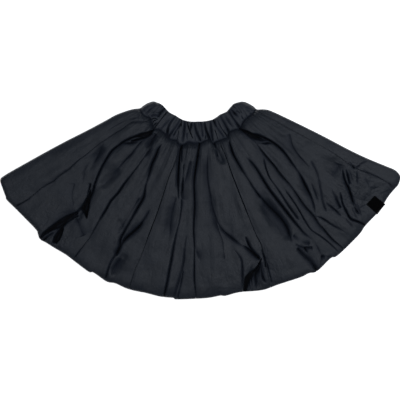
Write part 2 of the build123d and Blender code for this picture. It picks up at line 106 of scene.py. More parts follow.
    ("r2", [3.3, 3.9, 3, 4.5, 4, 6.2], [4.79, 4.79], [5.19, 5.19], 0.08, 0.08, [(295.2, 107.4), (309.8, 79.7), (318.1, 52.8), (323.2, 23.6), (328.2, -2.8), (338.7, -32.3)]),
    ("r3", [3, 4, 5, 3], [3, 3], [4, 4], 0.2, 0.5, [(297.1, 46.4), (309.1, 16.6), (318.8, -11.2)]),
    ("r4", [2.4, 11.9, 4.1], [3.32, 3.32], [1.5, 1.5], 0.08, 0.08, [(337.5, -8.2), (358.6, -23.8), (377.9, -43.2)]),
    ("r5", [1.5, 11.6, 6.5, 0.2], [3.01, 3.01], [1.5, 1.5], 0.08, 0.08, [(309.8, -45.4), (319.7, -45.8), (335.1, -53.4), (354.8, -67.6), (379.8, -81.9)]),
    ("r6", [5.1, 3.2, 0.2], [16, 16], [11.71, 11.71], 0.08, 0.08, [(372.7, 97.8), (365.1, 79.4), (352.1, 64.6)]),
    ("c1", [2.7, 13.5, 23.8, 25.5, 3.5, 23.5], [4.38, 4.38], [1.5, 1.5], 0.08, 0.08, [(380.4, 85.4), (388.5, 53.2), (398.4, 32.9), (406.2, 9.9), (413.5, -16.8), (427.1, -37.3)]),
    ("c2", [0.2, 15, 12.2], [1.5, 1.5], [4.43, 4.43], 0.08, 0.08, [(388.3, 84.5), (394.8, 66.1), (400.4, 42)]),
    ("c3", [2.2, 12.8, 16.9, 26, 26, 26], [2.14, 2.14], [1.64, 1.64], 0.08, 0, [(374.9, 26.2), (381.4, -7.4), (391.6, -29.9), (402.9, -50), (418.7, -56.3), (442, -66.1)]),
    ("c4", [0.5, 10.3, 15], [6.31, 6.31], [1.89, 1.89], 0.08, 0.08, [(360.2, 16), (369.2, -5), (377.5, -20.8)]),
    ("c5", [4, 6, 4], [2.4, 2.4], [3, 3], 0.2, 0.4, [(419.7, 80.2), (421.2, 58.5), (420.4, 34.3)]),
    ("c6", [3, 3, 2.5], [2.4, 2.4], [2.4, 2.4], 0.08, 0.08, [(407, -22.2), (414.5, -35.9), (419.4, -46.9)]),
    ("c7", [3, 3, 2.5], [2.4, 2.4], [2.4, 2.4], 0.08, 0.08, [(419.3, -9.3), (425.7, -26.2), (433, -42.8)]),
    ("c8", [10.9, 3.3, 0.2], [1.5, 1.5], [3.48, 3.48], 0.08, 0.08, [(414.6, 84.9), (403.2, 97.9), (396.5, 105.2)]),
    ("c9", [9.7, 5, 2.8], [1.5, 1.5], [1.5, 1.5], 0.08, 0.08, [(416.7, 83.5), (432.4, 98.2), (447.9, 105.3)]),
    ("c10", [2, 2, 1.5], [8, 8], [6, 6], 0.4, 0.5, [(438.1, 70.6), (446.2, 46.3), (454.3, 24.8)]),
    ("c11", [1.5, 1.5, 1.5], [1.5, 1.5], [7.71, 7.71], 0.08, 0.08, [(446.3, -11.5), (432.6, -19.4), (421.5, -24.3)]),
    ("c12", [1.5, 1.5, 1.5], [12.66, 12.66], [2.8, 2.8], 0.08, 0.08, [(479.1, 16.8), (495.4, 21.6), (511.1, 28.1)]),
    ("b1", [2.4, 6.9, 11.3], [6.35, 6.35], [1.5, 1.5], 0.08, 0.08, [(255.1, -117.3), (274.2, -127), (302.2, -126.8)]),
    ("b2", [14.4, 10, 11, 26], [2.5, 4.9, 5.5, 3.7], [8.3, 10.4, 10.4, 10.4], 0.08, 0, [(259.1, -128.5), (279.3, -149.4), (297, -166.4), (313.7, -192)]),
    ("b3", [6.5, 1, 6.7], [9.14, 9.14], [9.22, 9.22], 0.08, 0.08, [(249.1, -93.9), (274.3, -112.9), (294.1, -116.4)]),
    ("b4", [19.7, 0.5, 0.2], [1.5, 1.5], [5.02, 5.02], 0.08, 0.08, [(278.8, -126.6), (290, -147.8), (296.2, -162.3)]),
    ("b5", [15, 0.8, 4.7], [16, 16], [2.31, 2.31], 0.08, 0, [(323.7, -149.9), (337.2, -151), (350.6, -152.4)]),
    ("n1", [6, 5, 2], [3, 3], [3, 3], 0, 0.3, [(-160.6, 241.7), (-155.7, 234), (-151.3, 226.5)]),
    ("n2", [6, 5, 2], [3, 3], [3, 3], 0, 0.3, [(147.2, 240.1), (142.1, 232.3), (136.5, 223.5)]),
    ("c13", [2, 3, 2], [3, 3], [3, 3], 0.3, 0.4, [(399.1, 84.3), (403.1, 68.1), (408.5, 49.3)]),
    ("c14", [2, 3, 2], [3, 3], [3, 3], 0.3, 0.2, [(502.9, 48.8), (510.7, 37.7), (516.7, 27.8)]),
    ("c15", [3, 5, 4, 2], [3, 3], [3, 3], 0.2, 0.3, [(406.7, 3.8), (414.1, -11.4), (423.4, -26.3), (432.3, -42.7)]),
    ("r7", [2, 3, 2], [3, 3], [3, 3], 0.4, 0.5, [(348.5, 36.3), (360.3, 10.6), (369, -7.4)]),
    ("r8", [2, 3, 2], [3, 3], [3, 3], 0.4, 0.5, [(382.3, -44.1), (401.8, -65), (416.2, -82.8)]),
    ("r9", [2, 3, 2], [3, 3], [3, 3], 0.4, 0.5, [(346.8, -61.7), (373.5, -77.9), (397.7, -93.9)]),
]
# broad soft hollows (swellings if negative): name, depth, radius, points
HOLLOWS = [
    ("s1", 4.0, 22, [(165.2, -0.7), (192.1, -38.3), (218.9, -75.9)]),
    ("s3", 3.0, 20, [(124.9, -86.6), (114.2, -108.1)]),
    ("s4", -3.5, 18, [(-248.5, 120.2), (-237.8, 106.8)]),
    ("s6", 3.0, 18, [(347.9, 93.4), (364, 74.6)]),
    ("s7", 3.0, 16, [(-76.6, -32.9), (-81.9, -94.7)]),
    ("s8", 2.5, 20, [(-130.3, 74.6), (-162.5, 26.2)]),
    ("s9", 2.5, 18, [(30.9, -14.1), (49.7, -67.8)]),
    ("s10", 2.5, 24, [(-270, -167.2), (-202.8, -199.5)]),
    ("s11", -2.5, 26, [(-135.7, -81.3), (-122.2, -161.9)]),
    ("s12", -2.5, 26, [(39, -135), (30.9, -202.2)]),
    ("s13", -2.5, 24, [(213.6, -135), (227, -167.2)]),
    ("s14", -2.5, 26, [(-270, -67.8), (-243.1, -108.1)]),
    ("s15", -3.0, 24, [(-210.9, 128.3), (-194.8, 141.7)]),
    ("s16", -2.5, 28, [(165.2, 200.8), (213.6, 182)]),
    ("s17", -2.5, 26, [(-162.5, 200.8), (-202.8, 179.3)]),
    ("s18", 2.0, 24, [(-390.9, 133.7), (-296.9, 176.6)]),
    ("s21", 5.0, 10, [(36.3, 144.4), (47, 128.3), (57.8, 106.8)]),
    ("s24", 2.0, 14, [(-350.6, -46.3), (-377.5, -70.5), (-409.7, -97.4)]),
    ("s25", 2.0, 9, [(-377.5, -97.4), (-385.5, -113.5)]),
    ("s27", 6.0, 14, [(143.7, -196.8), (154.5, -226.3)]),
    ("s28", 2.5, 12, [(275.4, -140.4), (296.9, -167.2)]),
    ("s30", 2.0, 7, [(-56.4, 128.3), (-59.1, 79.9), (-59.1, 36.9)]),
    ("s19", -2.5, 20, [(407, -41), (417.8, -14.1)]),
    ("s20", 5.0, 7, [(-44.3, 148.4), (-28.2, 151.1), (-12.1, 148.4)]),
    ("s22", 3.0, 9, [(-108.8, 179.3), (-124.9, 163.2), (-138.4, 147.1)]),
    ("s26", 2.0, 13, [(151.8, -178), (138.4, -202.2), (130.3, -226.3)]),
    ("s29", 6.0, 15, [(181.3, -16.8), (205.5, -51.7), (229.7, -92)]),
    ("s23", 5.0, 9, [(-313, -19.5), (-318.4, -32.9), (-323.7, -41)]),
    ("s2", 5.0, 11, [(-224.3, 71.9), (-240.4, 58.4), (-256.6, 42.3)]),
    ("s5", -5.0, 16, [(455.4, 39.6), (433.9, 18.1)]),
    ("s31", 2.5, 9, [(-210.9, -81.3), (-216.3, -59.8)]),
    ("s32", 4.5, 10, [(-205.5, -153.8), (-218.9, -169.9), (-232.4, -188.7)]),
    ("s33", 4.0, 10, [(-267.3, 133.7), (-280.7, 112.2), (-291.5, 93.4)]),
    ("s34", 3.0, 12, [(369.4, 106.8), (369.4, 85.3)]),
]
SEAMS = {
    1: [(-142.4, 210.6), (-182.7, 207.7), (-203, 193.1), (-226.9, 179.1), (-256.1, 159.9), (-283, 139.8), (-303.1, 122.8), (-329.9, 102.7), (-350.2, 82.6), (-376.9, 64.1), (-391.7, 50.4), (-422.6, 32.6), (-462, 0.3), (-488.7, -14.7)],
    2: [(-127.4, 158.8), (-139.1, 131), (-159.7, 100), (-182.7, 69.7), (-203, 43), (-219.1, 19.1), (-238.6, -2.1), (-251.5, -25.7), (-268.2, -52.1), (-282.6, -78.5), (-296.4, -101.7), (-316.6, -128.6), (-335, -152.4)],
    3: [(-59, 119.3), (-69.9, 92.8), (-83.8, 59.3), (-96.7, 18.8), (-109.9, -21.6), (-119.6, -48.7), (-132.7, -82.4), (-145, -115.7), (-158.1, -151.8), (-175, -189.1), (-187.7, -229.1)],
    4: [(-1.6, 152.4), (-4.8, 127), (-8.9, 99.9), (-12.6, 76.9), (-15.7, 46.3), (-14.9, 12.8), (-14, -20.8), (-16.2, -54.5), (-17.1, -87.9), (-15, -121.5), (-15, -168.6), (-15.1, -215.5), (-11.1, -255.8)],
    5: [(56.2, 144.9), (67.3, 120.8), (75.9, 97.3), (83.8, 73.9), (96.7, 40.2), (107.4, 13.2), (120.7, -20.4), (132.7, -50.7), (144.5, -80.7), (154.1, -100.9), (163.2, -117.8), (174.8, -166.9), (185.9, -223.8)],
    6: [(142.1, 165.2), (168.6, 128.9), (200.1, 90.6), (240.4, 39.6), (277.2, -11.1), (307.5, -47.8), (334.4, -81.3), (354.6, -105), (377.6, -124.1)],
    7: [(165.2, 231.7), (267.3, 176.6), (347.9, 131), (415.1, 85.3), (428.5, 79.9), (448.6, 73.2), (468.8, 64.9), (495.7, 50.4), (514.5, 36.9)],
}
# how deep each seam pulls in along its length, and how wide
SEAM_PULL = {
    1: ([2.3, 2.3, 1.3, 0.9, 2.5, 2.1, 1.1, 3.4], 6.18),
    2: ([1.4, 1.2, 3.6, 12.8, 13.2, 2.6, 0.9, 3], 4.83),
    3: ([0.2, 6.2, 9.1, 14.5, 11.2, 0.8, 0.7, 2.4], 1.22),
    4: ([10.6, 4.8, 2.2, 2.2, 1.2, 0.5, 1.2, 0.4], 2.54),
    5: ([3.1, 4.7, 6.7, 7.5, 1.5, 2.5, 1.2, 0.2], 1.99),
    6: ([0.7, 1.7, 2.3, 0.5, 1.1, 0.4, 1.5, 0.4], 2.37),
    7: ([1.1, 0.2, 0.2, 0.2, 0.6, 1.1, 2.2, 0.2], 7),
}
HEM = [(-537.6, 46), (-523.1, 9.9), (-518.8, -0.2), (-481.4, -38), (-441.3, -79.5), (-436.1, -91.3), (-430, -106.2), (-412.9, -115.5), (-391.3, -129.2), (-360.3, -147.7), (-334.2, -167.5), (-299, -193.5), (-286.5, -195.2), (-251.4, -219.5), (-227.3, -224.6), (-195.6, -239), (-162.4, -247.1), (-146, -250.1), (-105.8, -260.2), (-71.5, -263.7), (-67, -267.6), (-12.7, -265.8), (24.3, -263.3), (55.4, -257.3), (67.8, -258.1), (99, -249.6), (120.6, -246.9), (164.1, -243.3), (185.4, -237.4), (215.9, -225.8), (270.2, -208), (292.8, -197), (315.2, -191.5), (350.8, -157.4), (366.1, -152.1), (393.8, -127.7), (430, -90.4), (444.4, -69.6), (476.7, -35.7), (488.1, -20.3), (497.5, -5.5), (505.2, 7), (517.1, 22.3), (535.1, 42.5)]
LEFT = [(-162.9, 247.6), (-186.9, 244), (-225.1, 230.6), (-256.2, 213.6), (-308.6, 185.8), (-376.6, 151.2), (-464.3, 102.9), (-525, 68.1), (-538.5, 56.5), (-538, 48.4)]
RIGHT = [(154.6, 244.5), (177.3, 244.4), (198.5, 237.6), (259.4, 208.8), (332, 172.8), (403.6, 135.1), (452.8, 111.9), (500.5, 92.2), (524.8, 81.9), (537.3, 69.7), (540, 60.5), (535.1, 44.3)]
BAND_TOP = [(-134.4, 265.2), (-129.8, 267.1), (-124.4, 268.7), (-119, 268.5), (-110.8, 264.1), (-102.7, 258.7), (-94.6, 249), (-86.5, 239.8), (-67.6, 229), (-48.7, 217.1), (-27, 211.7), (-6.5, 211.7), (35.1, 217.1), (56.8, 232), (75.7, 241.2), (83.8, 252), (91.9, 261.7), (100, 265.8), (108.1, 268.5), (113.6, 267.9), (119, 267.1), (124.4, 264.4), (129.8, 261.7)]
BAND_END_L = [(-117.6, 265), (-121.7, 267.1), (-127.1, 267.9), (-132.5, 266.3), (-143.3, 261.7), (-154.1, 254.9), (-164.1, 246)]
BAND_END_R = [(103, 265.2), (108.4, 267.1), (113.8, 267.7), (121.9, 266.3), (132.7, 261.2), (143.6, 254.4), (152.5, 247.1)]
BAND_BOT = [(-161.4, 240), (-153, 229.3), (-134.5, 220.6), (-129.6, 203.7), (-125, 191.6), (-108.9, 190.3), (-95.5, 179.5), (-89.3, 169.3), (-79.3, 163.4), (-62.4, 160.7), (-56.5, 149.9), (-43, 149.9), (-33.1, 156.9), (-18.6, 154.5), (3.5, 154.5), (13.4, 159.3), (25.5, 162), (34.2, 153.4), (45.2, 158), (74.5, 169.3), (76.6, 179.5), (84.2, 186.2), (96.5, 190.3), (107.6, 191.3), (113.5, 203.7), (117, 210.7), (127.7, 223.1), (138, 229.3), (147.9, 241.4)]
LABEL = [(466.5, 12.3), (497.8, -12.3), (472.7, -36.4), (444, -10.4)]
# pockets: depth at each corner, width of the edge, outline
POCKETS = [
    ([22, 25, 26, 24, 22, 20, 20], 3.0, [(-292.3, 26.3), (-296.3, -8.6), (-303, -48.9), (-311.1, -34.1), (-320.5, -23.4), (-312.4, -9.9), (-304.4, 4.8)]),
    ([20, 20, 20, 20, 20, 20, 20, 20, 20, 20, 20, 20, 20, 20], 2.6, [(-328.6, -31.4), (-344.7, -37.1), (-360.8, -44.3), (-376.9, -53.7), (-398.4, -69.8), (-419.9, -87.3), (-430.6, -102.6), (-417.2, -93.8), (-395.7, -81.1), (-376.9, -74.1), (-363.5, -66.9), (-355.4, -56.1), (-342, -46.2), (-328.6, -37.3)]),
    ([20, 22, 22, 19, 17, 17, 20, 21, 21], 3.0, [(-368.9, -70.4), (-375.6, -75.8), (-383.6, -86.5), (-391.7, -99.9), (-394.4, -113.4), (-385, -116.1), (-376.9, -106.7), (-370.2, -93.2), (-366.2, -78.4)]),
    ([22, 22, 22, 22, 22, 22, 22, 22, 22, 22, 22, 22, 22], 3.0, [(164.4, -157.7), (159, -175.2), (152.3, -187.2), (147, -196.7), (136.2, -210.1), (128.1, -226.2), (124.1, -245), (116.9, -246.4), (117.9, -223.5), (120.6, -207.4), (132.2, -194.5), (147, -185.9), (156.4, -172.5)]),
    ([18, 18, 18, 18, 18, 18, 18], 2.6, [(109.3, 191.5), (128.1, 184.8), (147, 175.4), (165.8, 164.7), (147, 166), (130.8, 171.4), (117.4, 180.8)]),
    ([18, 18, 18, 18, 18, 18, 18], 2.6, [(-124.4, 188.9), (-137.8, 183.5), (-156.6, 178.1), (-178.1, 168.7), (-159.3, 168.7), (-143.2, 171.9), (-129.8, 180.8)]),
]
# pleats pressed into the waistband: depth, width, top, bottom
GATHERS = [
    ([14.2, 8.3, 26], 1.53, [(-87.4, 238.5), (-108.9, 210.9), (-126.4, 187.8)]),
    ([0.3, 2.7, 1.9], 7, [(-75.1, 222.3), (-90, 207.7), (-107.3, 188.8)]),
    ([3.2, 4.4, 25.9], 5.36, [(-66.7, 223.9), (-82, 204.5), (-90.1, 171.4)]),
    ([2, 3.1, 8.1], 7, [(-50.9, 220.3), (-69.6, 191.1), (-86.6, 167.8)]),
    ([8.7, 2.1, 5.4], 4.72, [(-51.1, 205.1), (-62.6, 187.7), (-72, 172.9)]),
    ([8, 26, 26], 1.2, [(-50.4, 218.8), (-50.5, 207.8), (-50.6, 198.2)]),
    ([4.7, 6.2, 3], 7, [(-40.6, 215.9), (-42.7, 187.5), (-46.8, 157.9)]),
    ([7, 26, 9.6], 1.54, [(-36, 215.5), (-29.5, 190.2), (-20, 166.5)]),
    ([2, 6.9, 8.4], 6.59, [(-16.9, 216.9), (-9.8, 183.6), (1.3, 159.8)]),
    ([5, 2.2, 3.5], 7, [(0.1, 211.6), (4.3, 195.7), (7.4, 171.5)]),
    ([1.1, 9.8, 21.9], 5.9, [(9.4, 216.9), (16.4, 187.6), (27.4, 158.3)]),
    ([2.1, 7.2, 5.9], 7, [(27, 217.4), (29.3, 190.4), (34.3, 158)]),
    ([12.1, 2.9, 2.8], 7, [(33.9, 220.3), (43.9, 198), (65.1, 167.6)]),
    ([1.1, 2.6, 9.6], 2.46, [(44.4, 219.2), (55.9, 194.8), (72.9, 171.4)]),
    ([2.3, 5.2, 11.1], 6.73, [(53, 227.8), (65.6, 205.7), (78.7, 180.5)]),
    ([0.2, 4.2, 1.6], 7, [(63, 232.7), (75.1, 212.5), (87.8, 196.8)]),
    ([6.1, 4.7, 13.6], 7, [(75.9, 241.2), (92.4, 214.2), (109.7, 189.5)]),
    ([4.5, 6.7, 1.4], 7, [(84.4, 242.3), (92.7, 233), (101.1, 223.9)]),
    ([3, 10.1, 2.2], 4.66, [(-21.5, 211.8), (-24.2, 198.3), (-27.2, 184.9)]),
    ([3, 0.6, 0.2], 3.2, [(-5.6, 211.8), (-4.6, 198.3), (-2.4, 184.9)]),
    ([0.2, 4.2, 0.7], 3.2, [(16.9, 176.8), (14.8, 168.7), (13.4, 160.7)]),
    ([4.2, 2, 0.2], 3.2, [(-35, 179.5), (-35.5, 170.1), (-33.6, 158)]),
    ([0.2, 1, 1.8], 3.2, [(-14.8, 179.5), (-14.3, 168.7), (-13.2, 158)]),
    ([0.8, 3.7, 1.8], 1.2, [(-61.9, 193), (-68, 179.5), (-71.3, 166.1)]),
    ([15.7, 3.6, 6.9], 1.2, [(-57.3, 184.9), (-59.4, 174.1), (-60.5, 160.7)]),
    ([0.8, 0.5, 0.8], 2.51, [(56.5, 182.2), (60.5, 174.1), (63.2, 166.1)]),
    ([26, 3.6, 5.1], 1.2, [(40.3, 187.6), (44.4, 175.5), (48.4, 162)]),
    ([2.2, 2.2, 2.2], 3, [(-154.6, 239.2), (-142.5, 248.1), (-129.1, 254.8)]),
    ([1.8, 1.8, 2], 7, [(-146.6, 231.9), (-135.8, 241.4), (-119.7, 253.5)]),
    ([2.2, 0.8, 0.2], 3, [(-99.5, 252.7), (-107.6, 244), (-117, 231.9)]),
    ([6.6, 8.8, 0.7], 7, [(-95.5, 245.4), (-104.9, 236), (-115.6, 221.2)]),
    ([3.7, 2.1, 5.7], 1.27, [(-130.4, 234.6), (-119.7, 236.5), (-107.6, 233.8)]),
    ([4.1, 3.6, 3.9], 7, [(-131, 226.6), (-119.7, 228.4), (-110.3, 225.2)]),
    ([26, 14.3, 25.1], 1.2, [(-129.4, 217.7), (-121.8, 219.8), (-114.8, 216.1)]),
    ([26, 26, 4], 1.2, [(-128.3, 205.6), (-124, 212.3), (-117, 215.8)]),
    ([26, 17.9, 1.5], 1.53, [(-126.7, 198.3), (-121.3, 204.2), (-115.4, 207.5)]),
    ([3.8, 1.3, 0.2], 3, [(88.7, 252.1), (99.5, 242.7), (108.9, 229.3)]),
    ([2, 0.3, 0.6], 3, [(98.2, 257.5), (107.6, 248.1), (118.3, 234.6)]),
    ([1.8, 1.8, 1.8], 3, [(107.6, 258.8), (118.3, 251.3), (131.8, 246.7)]),
    ([2.4, 2.4, 2.4], 3, [(125, 250.8), (133.1, 244), (142.3, 241.4)]),
    ([2.5, 0.6, 4.6], 7, [(126.4, 240.8), (133.1, 237.3), (138.5, 230.1)]),
    ([3.6, 1.1, 0.2], 7, [(89.6, 234.9), (99.5, 228.4), (107.8, 216.1)]),
    ([4.2, 0.2, 4.9], 3, [(97.1, 239.7), (107.8, 231.7), (115.4, 218.2)]),
    ([2.5, 2.5, 2.5], 2.6, [(-137.1, 255.3), (-144.4, 247.8), (-151.4, 238.1)]),
    ([2.2, 2.4, 1], 3.67, [(-121, 257.5), (-133.7, 244.6), (-142.8, 230.1)]),
    ([1.2, 1.4, 1.2], 2.6, [(-110.3, 250.5), (-118.6, 242.4), (-125.6, 234.4)]),
    ([2.7, 2.3, 3.3], 3.71, [(-139.6, 225.8), (-135.3, 220.4), (-130.4, 214.5)]),
    ([2.5, 1.2, 2], 2.6, [(96, 255.9), (104.6, 245.1), (113.2, 233.8)]),
    ([2.2, 2, 0.5], 2.6, [(124, 249.4), (131, 240.3), (134.2, 231.7)]),
    ([2, 2, 2], 2.6, [(134.2, 248.3), (139.6, 241.4), (141.7, 236)]),
    ([1.8, 1.1, 2.1], 2.6, [(108.9, 250.8), (119.7, 237.3), (126.1, 225.2)]),
    ([0.3, 0.8, 2.2], 2.1, [(134.7, 227.4), (124, 222), (115.9, 214.5)]),
]

LABEL_MID = tuple(np.mean(np.array(LABEL, float), 0))
BACK_SEAMS = [-51.5, -32.0, -12.6, 6.9, 26.3, 45.8]
Z_LINE_F, Z_LINE_B = 31.0, 17.0      # inner faces of the two layers
Z_FOLD = 27.0                        # mid height of the side folds
R_FOLD = 7.5
FOLD_BEND, FOLD_BEND_WIDTH = 4.0, 28.0   # how far the layers sink towards the side folds
HEM_BEND = [4.5, 5.5, 7.0, 8.0, 8.5, 8.0, 2.0, 5.0, 6.0]          # and towards the hem, from -x to +x
HEM_BEND_WIDTH = [16.0, 18.0, 28.0, 32.0, 36.0, 32.0, 14.0, 26.0, 26.0]
R_HEMROLL = 8.5
CROWN = 56.5                         # outer face of the front layer


def polar(x, y):
    return np.arctan2(x - CX, CY - y), np.hypot(x - CX, CY - y)


def cart(th, r):
    return CX + r * np.sin(th), CY - r * np.cos(th)


def curve_by(points, key):
    """Interpolator of one polar coordinate of a curve by the other."""
    p = np.array(points, float)
    th, r = polar(p[:, 0], p[:, 1])
    a, b = (th, r) if key == "th" else (r, th)
    order = np.argsort(a)
    a, b = a[order], b[order]
    return lambda q: np.interp(q, a, b)


band_top_r = curve_by(BAND_TOP, "th")
band_bot_r = curve_by(BAND_BOT, "th")
band_end_l = curve_by(BAND_END_L, "r")
band_end_r = curve_by(BAND_END_R, "r")
seam_th = {k: curve_by(v, "r") for k, v in SEAMS.items()}


# ------------------------------------------------------------------ noise
def lattice(seed):
    rng = np.random.RandomState(seed)
    a = rng.uniform(0, 2 * np.pi, (256, 256))
    return np.cos(a), np.sin(a)


_LAT = {}


def noise(x, y, seed=0):
    """Gradient noise, about -0.7 to 0.7."""
    if seed not in _LAT:
        _LAT[seed] = lattice(seed)
    gx, gy = _LAT[seed]
    xi, yi = np.floor(x).astype(int), np.floor(y).astype(int)
    fx, fy = x - xi, y - yi
    u, v = fx * fx * fx * (fx * (fx * 6 - 15) + 10), fy * fy * fy * (fy * (fy * 6 - 15) + 10)

    def g(i, j):
        a, b = (xi + i) & 255, (yi + j) & 255
        return gx[a, b] * (fx - i) + gy[a, b] * (fy - j)

    top = g(0, 0) * (1 - u) + g(1, 0) * u
    bot = g(0, 1) * (1 - u) + g(1, 1) * u
    return top * (1 - v) + bot * v


def ridged(x, y, seed):
    return 1.0 - 2.0 * np.abs(noise(x, y, seed)) * 1.6


def smooth(t):
    t = np.clip(t, 0, 1)
    return t * t * (3 - 2 * t)


def ell(t, p=2.0):
    """Quarter round: 0 at an edge, 1 inside; a larger p eases into the flat."""
    t = np.clip(t, 0, 1)
    return np.sqrt(np.maximum(0.0, 1 - (1 - t) ** p))


# ------------------------------------------------------------------ distance to a line
def line_field(x, y, pts, reach):
    """Signed distance (positive on the +x side of a line run away from the waist) and place along it."""
    p = np.array(pts, float)
    lo, hi = p.min(0) - reach, p.max(0) + reach
    near = np.nonzero((x > lo[0]) & (x < hi[0]) & (y > lo[1]) & (y < hi[1]))[0]
    if not len(near):
        return near, None, None
    px, py = x[near], y[near]
    best = np.full(len(near), 1e9)
    sign = np.ones(len(near))
    place = np.zeros(len(near))
    seg = np.hypot(*(p[1:] - p[:-1]).T)
    total, run = seg.sum(), 0.0
    for a, b, length in zip(p[:-1], p[1:], seg):
        d = (b - a) / length
        t = np.clip((px - a[0]) * d[0] + (py - a[1]) * d[1], 0, length)
        qx, qy = px - (a[0] + t * d[0]), py - (a[1] + t * d[1])
        dist = np.hypot(qx, qy)
        hit = dist < best
        best = np.where(hit, dist, best)
        sign = np.where(hit, np.sign(d[0] * qy - d[1] * qx + 1e-12), sign)
        place = np.where(hit, (run + t) / total, place)
        run += length
    return near, best * sign, place


def spline(pts, step=6.0):
    """The same line through more points, without corners."""
    p = np.array(pts, float)
    if len(p) < 3:
        return p
    q = np.vstack([2 * p[0] - p[1], p, 2 * p[-1] - p[-2]])
    out = []
    for i in range(1, len(q) - 2):
        n = max(1, int(np.hypot(*(q[i + 1] - q[i])) / step))
        for k in range(n):
            t = k / n
            out.append(
                0.5 * (2 * q[i] + (q[i + 1] - q[i - 1]) * t
                       + (2 * q[i - 1] - 5 * q[i] + 4 * q[i + 1] - q[i + 2]) * t * t
                       + (3 * q[i] - q[i - 1] - 3 * q[i + 1] + q[i + 2]) * t ** 3)
            )
    out.append(p[-1])
    return np.array(out)


hem_r = curve_by(spline(HEM, 3.0), "th")
left_th = curve_by(spline(LEFT, 3.0), "r")
right_th = curve_by(spline(RIGHT, 3.0), "r")


def along(values, s):
    """Values at even places along a line, eased from one to the next."""
    v = np.array(values, float)
    q = np.clip(s, 0, 1) * (len(v) - 1)
    i = np.minimum(q.astype(int), len(v) - 2)
    f = smooth(q - i)
    return v[i] * (1 - f) + v[i + 1] * f


